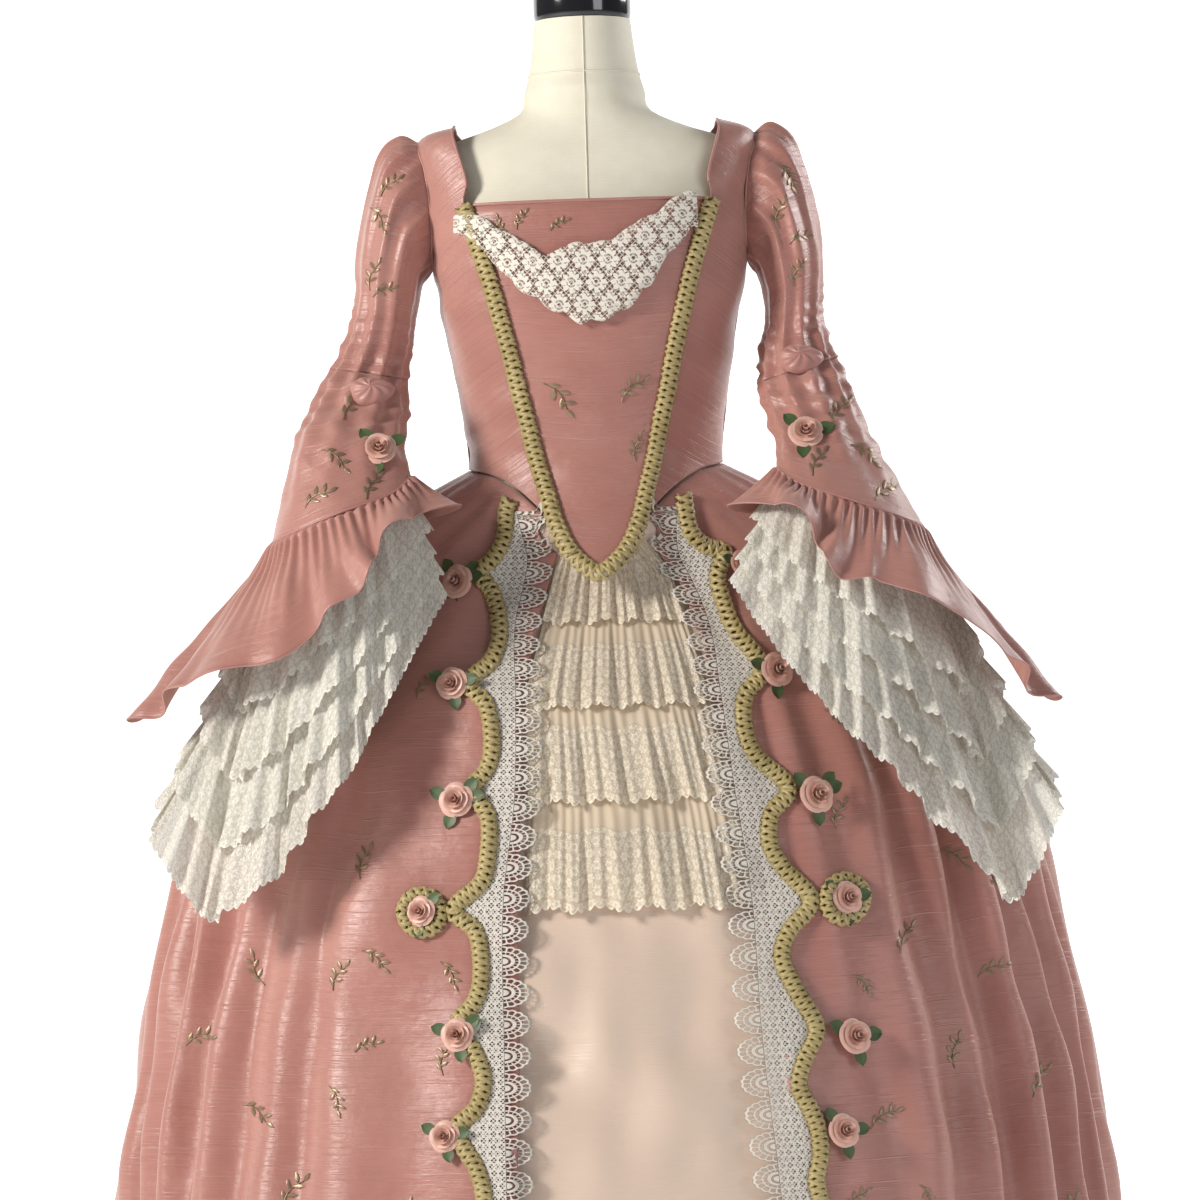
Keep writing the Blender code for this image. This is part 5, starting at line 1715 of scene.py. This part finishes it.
@dataclass
class Bodice:
    """Stomacher, side fronts with straps, backs, piping, braid and lace."""

    fine: int = 70
    panels: list = field(default_factory=list)

    def build(self) -> Facets:
        """Draw the panels and their piping.

        Returns:
            The fronts, for laying trim on them.
        """
        front = on_body(finer(stomacher_points(9), self.fine, 60))
        z = front[..., 2]
        x = front[..., 0]
        drag = 0.9 * np.sin(z / 3.1 + 0.8 * np.sin(x / 23) + 1.5 * np.sin(z / 31))
        drag *= np.exp(-(((z - 1120) / 70) ** 2))
        drag += 1.2 * np.sin(z / 9.0 + 0.02 * x) * np.exp(-(((z - 1075) / 40) ** 2))
        front = moved_out(front, drag + rumple(front * (0.4, 1, 1), 3, 50, 0.8))
        self.sheet("stomacher", front, ("bodice_stomacher",))
        self.panels = [front]
        for side in Side:
            word, sign = side.value, side.sign
            grid = on_body(finer(side_front_points(sign, 15, 7) * (sign, 1, 1), 90, 40))
            grid = moved_out(grid * (sign, 1, 1), rumple(grid * (0.5, 0.5, 1), 5 + sign, 60, 1.5))
            self.sheet(f"side_front_{word}", grid, (f"bodice_front_{word}",))
            self.panels.append(grid)
            back = on_body(finer(back_points(sign, 10, 7), 70, 36))
            back[..., 0] = sign * np.maximum(sign * back[..., 0], 0.15)
            self.sheet(f"back_{word}", back, (f"bodice_back_{word}",))
            self.piping(f"piping_{word}", sign)
        cords = Shape()
        cords.tube(front[-1] + (0, 0, 1.0), 1.7, 8)
        Piece("neckline_piping", PIPING).place(cords.mesh("neckline_piping"))
        return Facets(*self.panels)

    def sheet(self, name: str, grid: np.ndarray, nodes: tuple) -> None:
        """Draw one panel.

        Args:
            name: Its name.
            grid: Its points.
            nodes: The solids it stands for.
        """
        Sheet(name, PINK, nodes, held=Held.STRETCHED, rests_on=("form_torso",)).draw(grid)

    def piping(self, name: str, sign: int) -> None:
        """Cord along a side front's strap and armhole.

        Args:
            name: Its name.
            sign: Which side.
        """
        grid = side_front_points(sign, 15, 7) * (sign, 1, 1)
        fine = on_body(finer(grid if sign > 0 else grid[:, ::-1], 90, 30), 0.4)
        cords = Shape()
        strap = fine[62:, 0] * (sign, 1, 1)
        cords.tube(strap, 1.3, 6)
        cords.tube(fine[:, -1][45:] * (sign, 1, 1), 1.2, 6)
        Piece(name, PIPING).place(cords.mesh(name))


@dataclass
class Skirts:
    """Overskirt fronts and back, petticoat and its ruffles."""

    fine: int = 100
    fronts: list = field(default_factory=list)

    def front_grid(self, side: Side, columns: int) -> np.ndarray:
        """One overskirt front.

        Args:
            side: Which side.
            columns: How many columns.

        Returns:
            Its points.
        """
        share = rows_between(self.fine)
        t = np.linspace(0, 1, columns)
        z = 1000 + (HEM_Z - 1000) * share
        edge = np.where(share < 0.02, math.asin(OPENING_HALF / WAIST_HALF), front_edge_turn(side.sign, z))
        edge = np.convolve(np.pad(edge, 3, mode="edge"), np.ones(7) / 7, mode="valid")
        end = math.radians(SIDE_SEAM_DEG) - 0.001
        angle = edge[:, None] + (end - edge[:, None]) * t[None, :] ** 0.95
        grid = overskirt_point(side.sign * angle, np.broadcast_to(share[:, None], angle.shape))
        fade = np.clip((FOLDS_START - grid[..., 2]) / FOLDS_GROW, 0, 1)
        long = np.sin(27 * angle + 1.3 * np.sin(8 * angle + 2 + side.sign) + 0.0035 * grid[..., 2])
        long = long * (0.55 + 0.45 * np.sin(0.006 * grid[..., 2] + 5 * angle + side.sign))
        long = long * np.clip(t * 9, 0.25, 1)
        return moved_out(grid, fade * (5.5 * long + rumple(grid * (1, 1, 0.4), 11 + side.sign, 90, 5.0)))

    def build(self) -> tuple[Facets, Facets]:
        """Draw the overskirt and the petticoat.

        Returns:
            The overskirt's fronts and the petticoat's front, for laying trim on them.
        """
        for side in Side:
            grid = self.front_grid(side, 190)
            self.fronts.append(grid)
            Sheet(f"overskirt_front_{side.value}", PINK, (f"overskirt_{side.value}",),
                  rests_on=(f"bodice_front_{side.value}", "petticoat_front")).draw(grid)
        angle = np.radians(np.linspace(SIDE_SEAM_DEG + 0.15, 360 - SIDE_SEAM_DEG - 0.15, 210))
        back = overskirt_point(*np.broadcast_arrays(angle, rows_between(72)[:, None]))
        fade = np.clip((FOLDS_START - back[..., 2]) / FOLDS_GROW, 0, 1)
        back = moved_out(back, fade * rumple(back * (1, 1, 0.25), 17, 130, 3.0))
        Sheet("overskirt_rear", PINK, ("overskirt_back",),
              rests_on=("bodice_back_left", "bodice_back_right")).draw(back)
        turn = math.radians(FRONT_TURN)
        angle = np.linspace(-turn, turn, 90)
        front = petticoat_point(*np.broadcast_arrays(angle, rows_between(self.fine)[:, None]))
        fade = np.clip((900 - front[..., 2]) / 300, 0, 1)
        creases = rumple(front * (1, 1, 0.3), 23, 90, 3.6) + rumple(front, 29, 95, 3.6)
        front = moved_out(front, fade * creases)
        Sheet("petticoat_front_satin", CREAM, ("petticoat_front",),
              rests_on=("bodice_stomacher",)).draw(front)
        angle = np.linspace(turn + 0.004, 2 * np.pi - turn - 0.004, 120)
        rear = petticoat_point(*np.broadcast_arrays(angle, rows_between(40)[:, None]))
        Sheet("petticoat_rear_satin", CREAM, ("petticoat_back",), rests_on=("form_torso",)).draw(rear)
        under = Facets(front)
        for number, ruffle in enumerate(RUFFLES, 1):
            self.ruffle(number, ruffle, under)
        return Facets(*self.fronts), under

    def ruffle(self, number: int, ruffle: tuple, under: Facets) -> None:
        """Draw one gathered ruffle of the petticoat.

        Args:
            number: Its place from the top.
            ruffle: Its top, hem, waves and their depth.
            under: The petticoat's front.
        """
        top_z, hem_z, waves, deep = ruffle
        v = np.linspace(0, 1, 26)[:, None]
        s = np.linspace(0, 1, 220)[None, :]
        z = top_z + (hem_z - top_z) * v
        left, right = -front_edge_turn(-1, z), front_edge_turn(1, z)
        angle = left + RUFFLE_SIDE_GAP + (right - left - 2 * RUFFLE_SIDE_GAP) * s
        z = z + 2.5 * v * np.sin(2 * np.pi * waves * s + number) + 0 * s
        seam = seam_height(angle) - SKIRT_GAP
        face = petticoat_point(angle, (seam - z) / (seam - HEM_Z))
        face = under.under(face[..., 0], z)
        wave = 1.5 * deep * v**0.8 * (0.5 + 0.5 * np.cos(2 * np.pi * waves * s)) * np.sin(np.pi * s) ** 0.5
        wave += 3.0 * v * (0.6 + np.sin(2 * np.pi * waves * 2.3 * s + number))
        gather = 1.3 * np.sin(2 * np.pi * (waves * 4.1) * s + 2.6 * np.sin(11 * s + number))
        gather = gather * (0.4 + v * (1.2 - v))
        stand = 2.4 + 4.6 * v + wave + gather
        out = np.stack([np.sin(angle), -np.cos(angle), np.zeros_like(angle)], axis=-1)
        grid = face + stand[..., None] * out
        Sheet(f"ruffle_{number}", RUFFLE, (f"petticoat_ruffle_{number}",), rests_on=("petticoat_front",),
              thick=0.0).draw(grid)


@dataclass
class Sleeve:
    """One sleeve: upper and lower tube, flounce and lace tiers."""

    side: Side
    columns: int = 240

    def build(self) -> Facets:
        """Draw the sleeve.

        Returns:
            The tubes, for laying trim on them.
        """
        word, flip = self.side.value, FLIP[self.side]
        count = SLEEVE_COLUMNS
        upper = np.array([armhole_ring(count)] + [station_ring(s, count) for s in SLEEVE[word]])
        lower = [upper[-1] - ELBOW_GAP] + [station_ring(s, count) for s in LOWER_SLEEVE[word]]
        lower = np.array(lower + [np.roll(cuff_ring(word, count)[::-1], count // 2 + 1, axis=0)])
        lower[0] = upper[-1] - (0, 0.1, 0.2)
        grids = []
        for name, rough, rests in (("upper", upper, "bodice_front_"), ("lower", lower, "sleeve_upper_")):
            grid = finer(rough, 64, 124, round_it=True)
            share = np.linspace(0, 1, 64)[:, None]
            turn = np.linspace(0, 2 * np.pi, 124, endpoint=False)[None, :]
            if name == "upper":
                puff = np.clip(share / 0.1, 0, 1) * np.clip((0.5 - share) / 0.5, 0, 1)
                fold = 1.6 * puff * np.sin(26 * turn + 1.5 * np.sin(3 * turn)) + 0 * share
                fold = fold + np.clip((share - 0.5) / 0.4, 0, 1) * rumple(grid * (0.4, 0.4, 1), 37, 19, 1.7)
            else:
                fold = np.sin(np.pi * np.sqrt(share)) * rumple(grid * (0.5, 0.5, 1), 39, 24, 2.0)
            grid = moved_out(grid, fold + rumple(grid, 31 + self.side.sign, 55, 0.7), round_it=True)
            Sheet(f"{name}_sleeve_{word}", PINK, (f"sleeve_{name}_{word}",), rests_on=(rests + word,),
                  round_it=True).draw(grid * flip)
            grids.append(np.concatenate([grid, grid[:, :1]], axis=1) * flip)
        flounce = flounce_points(word, 38, self.columns)
        share = np.linspace(0, 1, 38)[:, None]
        turn = np.linspace(0, 2 * np.pi, self.columns, endpoint=False)[None, :]
        gather = 3.0 * np.clip(1 - share, 0, 1) ** 2 * np.clip(share / 0.06, 0, 1)
        gather = gather * np.sin(44 * turn + np.sin(7 * turn))
        swing = 9.0 * share**1.2 * (0.3 + 0.7 * np.sin(10 * turn + 1.8 * np.sin(3 * turn + 2 * share)))
        flounce = moved_out(flounce, gather + swing + rumple(flounce, 41, 70, 1.5), round_it=True)
        Sheet(f"flounce_{word}", PINK, (f"sleeve_flounce_{word}",), rests_on=(f"sleeve_lower_{word}",),
              round_it=True, thick=0.7).draw(flounce * flip)
        edge = flounce[-1]
        hem = Shape()
        hem.tube(np.concatenate([edge, edge[:2]]) * flip, 0.9, 5)
        Piece(f"flounce_edge_{word}", PIPING).place(hem.mesh(f"flounce_edge_{word}"))
        seam = Shape()
        ring = lower[-1]
        seam.tube(ring_through(np.concatenate([ring]), np.linspace(0, 1, 120) * 0.999) * flip, 1.3, 6)
        Piece(f"cuff_seam_{word}", PIPING).place(seam.mesh(f"cuff_seam_{word}"))
        for number, tier in enumerate(LACE_TIERS, 1):
            self.tier(number, tier)
        return Facets(*grids)

    def tier(self, number: int, tier: tuple) -> None:
        """Draw one tier of lace.

        Args:
            number: Its place from the top.
            tier: Its top, middle and hem as shares of the fall.
        """
        word, flip = self.side.value, FLIP[self.side]
        rough = lace_points(word, tier, self.columns)
        grid = finer(rough, 24, self.columns, round_it=True)
        share = np.linspace(0, 1, 24)[:, None]
        turn = np.linspace(0, 2 * np.pi, self.columns, endpoint=False)[None, :]
        fall = np.linalg.norm(grid[-1] - grid[0], axis=1)[None, :] / 90
        full = np.clip(fall, 0.15, 1)
        phase = (15 + 2 * number) * turn + 2.2 * np.sin(3 * turn + 2 * number)
        ripple = 6.0 * full * share**0.8 * np.sin(phase)
        ripple += 1.6 * full * share * np.sin((47 + 5 * number) * turn + 3 * np.sin(4 * turn + number))
        flare = full * (12.0 * share**1.3 - 2.5)
        grid = moved_out(grid, ripple + flare, round_it=True)
        Sheet(f"lace_tier_{word}_{number}", IVORY, (f"sleeve_lace_{word}_{number}",),
              rests_on=(f"sleeve_lower_{word}",), round_it=True, thick=0.0).draw(grid * flip)


@dataclass
class Trim:
    """What is sewn on: braid, white lace, roses with leaves, and woven sprigs."""

    skirt: Facets
    bodice: Facets
    sleeves: dict
    strands: int = 3
    pitch: float = 22.0

    def on_skirt(self, side: Side, flat: np.ndarray, out: float | np.ndarray = 0.0) -> np.ndarray:
        """Points on the overskirt.

        Args:
            side: Which side.
            flat: x and height, as seen.
            out: How far out.

        Returns:
            The points.
        """
        depth = curve_through(SKIRT[:, 0], SKIRT[:, 2], flat[..., 1])
        nearer = 1 - depth / EYE_DISTANCE
        z = EYE_HEIGHT + (flat[..., 1] - EYE_HEIGHT) * nearer
        x = flat[..., 0] * nearer
        angle = skirt_turn(x, z)
        for _ in range(4):
            top = seam_height(angle) - SKIRT_GAP
            found = overskirt_point(angle, (top - z) / (top - HEM_Z))
            angle = angle * np.clip(x / np.maximum(np.abs(found[..., 0]), 1), 0.5, 1.5)
        smooth = overskirt_point(side.sign * angle, (top - z) / (top - HEM_Z))
        face = self.skirt.under(side.sign * x, z, otherwise=smooth)
        away = np.stack([side.sign * np.sin(angle), -np.cos(angle), 0.25 + 0 * angle], axis=-1)
        return face + np.asarray(out)[..., None] * away

    def on_bodice(self, flat: np.ndarray, out: float | np.ndarray = 0.0) -> np.ndarray:
        """Points on the bodice's front.

        Args:
            flat: x and height.
            out: How far out.

        Returns:
            The points.
        """
        smooth = on_body(front_at(flat[..., 0], flat[..., 1]))
        away = on_body(front_at(flat[..., 0], flat[..., 1]), 1.0) - smooth
        face = self.bodice.under(flat[..., 0], flat[..., 1], otherwise=smooth)
        return face + np.asarray(out)[..., None] * away

    def plait(self, name: str, line: np.ndarray, laid: Callable, nodes: tuple, wide: float = 7.8) -> None:
        """A flat plait of cords along a line.

        Args:
            name: Its name.
            line: x and height of its middle.
            laid: Lays flat points on the cloth, a distance out.
            nodes: The solids it stands for.
            wide: Half its width.
        """
        length = np.concatenate([[0], np.cumsum(np.linalg.norm(np.diff(line, axis=0), axis=1))])
        at = np.arange(0, length[-1], self.pitch / (10))
        middle = np.stack([np.interp(at, length, line[:, k]) for k in (0, 1)], axis=-1)
        step = np.gradient(middle, axis=0)
        step /= np.linalg.norm(step, axis=1, keepdims=True)
        beside = np.stack([-step[:, 1], step[:, 0]], axis=-1)
        shape = Shape()
        for strand in range(self.strands):
            phase = 2 * np.pi * (at / self.pitch + strand / self.strands)
            flat = middle + beside * ((wide - 0.6) * np.sin(phase))[:, None]
            shape.tube(laid(flat, 4.2 + 2.2 * np.cos(2 * phase)), 2.5, 6)
        Piece(name, BRAID, nodes).place(shape.mesh(name))

    def build(self) -> None:
        """Lay all trim."""
        for side, braid, ring, inner in ((Side.LEFT, BRAID_LEFT, RING_LEFT, EDGING_LEFT),
                                         (Side.RIGHT, BRAID_RIGHT, RING_RIGHT, EDGING_RIGHT)):
            word = side.value
            line = smooth_line(braid, 700)
            self.plait(f"plaited_braid_{word}", line, lambda flat, out, s=side: self.on_skirt(s, flat, out),
                       (f"overskirt_braid_{word}",))
            turn = np.linspace(0, 2.02 * np.pi, 60)
            loop = np.stack([ring[0] + ring[2] * np.cos(turn), ring[1] + ring[2] * np.sin(turn)], axis=-1)
            self.plait(f"plaited_ring_{word}", loop, lambda flat, out, s=side: self.on_skirt(s, flat, out),
                       (f"overskirt_ring_{word}",), wide=6.4)
            self.edging(side, line, np.array(inner, float))
        half = [(half, z) for z, half in STOMACHER[1:]]
        path = [(-a, b) for a, b in reversed(half)] + [(0, 940)] + half
        self.plait("plaited_stomacher", smooth_line(path, 400), self.on_bodice, ("stomacher_braid",))
        self.bodice_lace()
        self.roses()
        self.sprigs()

    def edging(self, side: Side, braid: np.ndarray, inner: np.ndarray) -> None:
        """White looped lace between an overskirt's edge and its braid.

        Args:
            side: Which side.
            braid: The braid's line.
            inner: The looped edge's line.
        """
        rows = 520
        z = np.linspace(inner[0, 1] - 2, inner[-1, 1], rows)
        low = curve_through(inner[::-1, 1], inner[::-1, 0], z) - 7
        order = np.argsort(braid[:, 1])
        high = np.interp(z, braid[order, 1], braid[order, 0]) - 4.5
        high = np.maximum(high, low + 6)
        across = np.linspace(0, 1, 9)[None, :]
        x = low[:, None] + (high - low)[:, None] * across
        flat = np.stack([x, np.broadcast_to(z[:, None], x.shape)], axis=-1)
        stand = 1.6 + 0.8 * np.sin(np.pi * across) + 0.5 * np.sin(z / 9.0)[:, None] * (1 - across)
        grid = self.on_skirt(side, flat, stand)
        middle = grid[:, 0]
        length = np.concatenate([[0], np.cumsum(np.linalg.norm(np.diff(middle, axis=0), axis=1))])
        own = (np.broadcast_to(length[:, None], x.shape), x - low[:, None])
        Sheet(f"white_edging_{side.value}", WHITE, (f"overskirt_lace_{side.value}",), held=Held.LAID,
              rests_on=(f"overskirt_{side.value}",), thick=0.6).draw(grid, own)

    def bodice_lace(self) -> None:
        """The white lace below the neckline, with its lobes."""
        top = np.array(BODICE_LACE_TOP, float)
        bottom = np.array(BODICE_LACE_BOTTOM, float)[::-1]
        x = np.linspace(-128, 104, 130)
        high = curve_through(top[:, 0], top[:, 1], x)
        low = np.interp(x, bottom[:, 0], bottom[:, 1])
        low -= 5.0 * np.abs(np.sin(x / 8.0))
        high += 2.0 * np.abs(np.sin(x / 7.0))
        low = np.minimum(low, high - 8)
        share = np.linspace(0, 1, 34)[:, None]
        z = low[None, :] * (1 - share) + high[None, :] * share
        flat = np.stack([np.broadcast_to(x, z.shape), z], axis=-1)
        edge = np.minimum(share, 1 - share) * 8
        grid = self.on_bodice(flat, 6.4 + 1.6 * np.clip(edge, 0, 1) + 0 * z)
        Sheet("white_bodice_lace", ROSETTE, ("bodice_lace",), held=Held.LAID, rests_on=("bodice_stomacher",),
              thick=0.6).draw(grid, (flat[..., 0] + 200, flat[..., 1] - 1180))

    def roses(self) -> None:
        """Petalled roses with leaves, at the solids' places."""
        for number, (sign, x, z, radius) in enumerate(SKIRT_ROSES, 1):
            side = Side.LEFT if sign < 0 else Side.RIGHT
            spot = np.array([[float(x), float(z)]])
            low = self.on_skirt(side, spot, np.array([5.2]))[0]
            out = self.on_skirt(side, spot, np.array([30.0]))[0] - low
            rose = Rose(f"petals_skirt_{number:02d}", low, out, radius * 0.98, number)
            rose.build(f"rose_skirt_{number:02d}")
        for side in Side:
            word, sign = side.value, side.sign
            x, z, radius = SLEEVE_ROSES[word]
            knot = (*ELBOW_KNOT[word], 14)
            out = np.array([0.0, -0.86, 0.5])
            for kind, name, (a, b, size), node in (
                    (Rose, "petals_sleeve_" + word, (x, z, radius), "rose_sleeve_" + word),
                    (Knot, "silk_knot_" + word, knot, "elbow_knot_" + word)):
                face = self.sleeves[side].under(np.array(float(a * sign)), np.array(float(b)))
                kind(name, face + out * 2.0, out, size, a).build(node)

    def sprigs(self) -> None:
        """Small woven twigs, scattered over the silk."""
        for name, spots, laid in (("sprigs_bodice", BODICE_SPRIGS, self.on_bodice),
                                  ("sprigs_skirt_left", SKIRT_SPRIGS_LEFT,
                                   lambda flat, out: self.on_skirt(Side.LEFT, flat * (-1, 1), out)),
                                  ("sprigs_skirt_right", SKIRT_SPRIGS_RIGHT,
                                   lambda flat, out: self.on_skirt(Side.RIGHT, flat, out)),
                                  ("sprigs_sleeve_left", SLEEVE_SPRIGS_LEFT, self.on_sleeve(Side.LEFT)),
                                  ("sprigs_sleeve_right", SLEEVE_SPRIGS_RIGHT, self.on_sleeve(Side.RIGHT))):
            shape = Shape()
            for x, z, turn, size in spots:
                Sprig(np.array([x, z], float), math.radians(turn), size).add(shape, laid)
            Piece(name, SPRIG).place(shape.mesh(name))

    def on_sleeve(self, side: Side) -> Callable:
        """Lays flat points on a sleeve.

        Args:
            side: Which side.

        Returns:
            The function that does so.
        """
        def laid(flat: np.ndarray, out: float | np.ndarray) -> np.ndarray:
            """Points on the sleeve.

            Args:
                flat: x and height.
                out: How far out.

            Returns:
                The points.
            """
            face = self.sleeves[side].under(flat[..., 0], flat[..., 1])
            return face + np.asarray(out)[..., None] * np.array([0.1 * side.sign, -0.98, 0.1])
        return laid


@dataclass
class Rose:
    """A satin rose of curled petals, with two or three leaves."""

    name: str
    back: np.ndarray
    out: np.ndarray
    radius: float
    seed: int

    def build(self, node: str) -> None:
        """Draw the rose.

        Args:
            node: The solid it stands for.
        """
        axis = Vector(self.out).normalized()
        turn = axis.to_track_quat("Z", "Y").to_matrix()
        frame = np.array(turn)
        shape = Shape()
        numbers = np.random.default_rng(abs(int(self.seed)) + 7)
        r = self.radius
        for petals, reach, high, lean in ((5, 1.0, 0.5, 0.9), (5, 0.82, 0.85, 0.8), (4, 0.6, 1.15, 0.7),
                                          (3, 0.4, 1.35, 0.6), (3, 0.2, 1.45, 0.5)):
            for k in range(petals):
                middle = 2 * np.pi * (k + numbers.uniform(-0.15, 0.15)) / petals + reach * 3
                v = np.linspace(0, 1, 6)[:, None]
                s = np.linspace(-1, 1, 9)[None, :]
                wide = (3.6 / petals + 0.3) * np.sin(np.pi * (0.2 + 0.55 * v)) ** 0.6
                angle = middle + wide * s
                away = r * reach * (0.25 + 0.75 * v**0.8 * (1 - 0.12 * s**2))
                away = away * (lean + (1 - lean) * (1 - v * 0.5))
                rise = r * (0.1 + high * 0.6 * v - 0.22 * v**4 * reach) - 0.1 * r * s**2 * v
                away = away * (1 + 0.1 * v**3)
                local = np.stack([away * np.cos(angle), away * np.sin(angle), rise], axis=-1)
                shape.grid(self.back + local @ frame.T)
        for k in range(3 + int(self.seed) % 2):
            angle = 0.4 + 2.1 * k + numbers.uniform(-0.4, 0.4)
            v = np.linspace(0, 1, 7)[:, None]
            s = np.linspace(-1, 1, 5)[None, :]
            away = r * (0.6 + 1.15 * v) + 0 * s
            beside = 0.4 * r * np.sin(np.pi * v) ** 0.8 * s
            rise = r * (0.12 + 0.06 * np.abs(s) + 0 * v)
            local = np.stack([away * math.cos(angle) - beside * math.sin(angle),
                              away * math.sin(angle) + beside * math.cos(angle), rise], axis=-1)
            shape.grid(self.back + local @ frame.T, slot=1)
        Piece(self.name, ROSE, (node,)).place(shape.mesh(self.name), LEAF)


@dataclass
class Knot:
    """A twist of the sleeve's own silk, gathered at the elbow."""

    name: str
    back: np.ndarray
    out: np.ndarray
    radius: float
    seed: int

    def build(self, node: str) -> None:
        """Draw the knot.

        Args:
            node: The solid it stands for.
        """
        frame = np.array(Vector(self.out).normalized().to_track_quat("Z", "Y").to_matrix())
        v = np.linspace(0.02, 1, 26)[:, None]
        turn = np.linspace(0, 2 * np.pi, 120, endpoint=False)[None, :]
        ridge = np.sin(8 * turn + 5.0 * v + 0.9 * np.sin(3 * turn))
        dome = 0.72 * np.sqrt(np.clip(1 - v**2, 0, 1))
        rise = self.radius * (dome + 0.12 * ridge * v * (1.3 - v)) - 2.0 * v
        away = self.radius * v * (1.25 + 0.1 * np.sin(3 * turn + 1.0))
        local = np.stack([away * np.cos(turn) * 1.25, away * np.sin(turn) * 0.9, rise + 0 * turn], axis=-1)
        shape = Shape()
        shape.grid(self.back + local @ frame.T, round_it=True)
        Piece(self.name, PIPING, (node,)).place(shape.mesh(self.name))


@dataclass
class Sprig:
    """A leafy twig laid flat on the cloth."""

    spot: np.ndarray
    turn: float
    size: float

    def add(self, shape: Shape, laid: Callable) -> None:
        """Add the twig to a shape.

        Args:
            shape: The shape.
            laid: Lays flat points on the cloth, a distance out.
        """
        way = np.array([math.cos(self.turn), math.sin(self.turn)])
        beside = np.array([-way[1], way[0]])
        t = np.linspace(0, 1, 8)
        bow = (0.16 * np.sin(np.pi * t))[:, None] * beside
        stem = self.spot + self.size * ((t - 0.5)[:, None] * way + bow)
        shape.tube(laid(stem, 0.9 + 0 * t), 0.6, 4)
        for k, share in enumerate((0.15, 0.32, 0.5, 0.66, 0.82, 1.0)):
            side = 0 if share == 1.0 else (-1) ** k
            lean = way * (1.0 if side == 0 else 0.72) + side * beside * 0.75
            square = np.array([-lean[1], lean[0]])
            root = self.spot + self.size * ((share - 0.5) * way + 0.16 * math.sin(math.pi * share) * beside)
            v = np.linspace(0, 1, 5)[:, None, None]
            s = np.linspace(-1, 1, 3)[None, :, None]
            length = self.size * 0.34
            flat = root + lean * length * v + square * length * 0.19 * np.sin(np.pi * v) * s
            shape.grid(laid(flat, (1.0 + 0.5 * (1 - s[..., 0] ** 2)) * (1 + 0 * v[..., 0])))


@dataclass(frozen=True)
class Lamp:
    """An area light of the studio."""

    name: str
    place: tuple
    size: float
    power: float
    colour: tuple = (1.0, 1.0, 1.0)

    def hang(self) -> None:
        """Hang the light, turned to the gown."""
        data = bpy.data.lights.new(self.name, "AREA")
        data.shape = "RECTANGLE"
        data.size, data.size_y = self.size, self.size
        data.energy, data.color = self.power, self.colour
        lamp = bpy.data.objects.new(self.name, data)
        bpy.context.scene.collection.objects.link(lamp)
        lamp.location = self.place
        lamp.rotation_euler = (Vector((0, 0, 0.85)) - Vector(self.place)).to_track_quat("-Z", "Y").to_euler()


class Studio:
    """Pale floor and backdrop, soft lights and the camera of the photograph."""

    lamps = (Lamp("key", (-3.3, -2.1, 2.5), 0.9, 165, (1.0, 0.96, 0.91)),
             Lamp("fill", (2.6, -3.4, 1.9), 1.6, 30, (0.95, 0.97, 1.0)),
             Lamp("rim", (2.6, 1.2, 2.4), 1.2, 50))
    floor = 6.4  # metres behind the gown
    bend = 1.2

    def build(self) -> None:
        """Set the stage."""
        reach = np.linspace(0, 1, 40)
        r = self.bend
        bend = np.array([(-6.0, 0.0)] + [(self.floor + r * math.sin(a), r - r * math.cos(a))
                                         for a in reach * math.pi / 2] + [(self.floor + r, 6.0)])
        grid = np.array([[(x, y, z) for x in (-8.0, 8.0)] for y, z in bend])
        shape = Shape()
        shape.grid(grid / MM)
        floor = bpy.data.objects.new("backdrop", shape.mesh("backdrop"))
        bpy.context.scene.collection.objects.link(floor)
        floor.data.shade_smooth()
        g = Graph("paper")
        place = g.node("SeparateXYZ", {0: g.node("NewGeometry").outputs["Position"]}).outputs[1]
        paper = g.mix(g.noise(0.6), (0.97, 0.97, 0.97), (0.98, 0.98, 0.98))
        floor.data.materials.append(g.finish(paper, 0.9, glow=g.step(place, 1.2, 2.5, 0.3, 0.8)))
        for lamp in self.lamps:
            lamp.hang()
        world = bpy.data.worlds.new("studio")
        bpy.context.scene.world = world
        world.use_nodes = True
        back = world.node_tree.nodes["Background"]
        back.inputs["Color"].default_value = (0.95, 0.97, 1.0, 1.0)
        back.inputs["Strength"].default_value = 0.14
        scene = bpy.context.scene
        scene.view_settings.view_transform = "Standard"
        camera = bpy.data.objects.new("camera", bpy.data.cameras.new("camera"))
        scene.collection.objects.link(camera)
        camera.data.lens, camera.data.sensor_width = 150.0, 36.0
        camera.data.sensor_fit = "HORIZONTAL"
        camera.location = (0.0, -EYE_DISTANCE * MM, EYE_HEIGHT * MM)
        camera.rotation_euler = (math.radians(90), CAMERA_ROLL, 0.0)
        scene.camera = camera
        scene.render.resolution_x = scene.render.resolution_y = 1200


def main() -> None:
    """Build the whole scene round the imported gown."""
    logging.basicConfig(level=logging.INFO, format="%(name)s: %(message)s")
    for obj in list(bpy.data.objects):
        bpy.data.objects.remove(obj, do_unlink=True)
    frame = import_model()
    DressForm().build(frame)
    bodice = Bodice().build()
    skirt, _ = Skirts().build()
    sleeves = {side: Sleeve(side).build() for side in Side}
    Trim(skirt, bodice, sleeves).build()
    Studio().build()


if __name__ == "__main__":
    main()
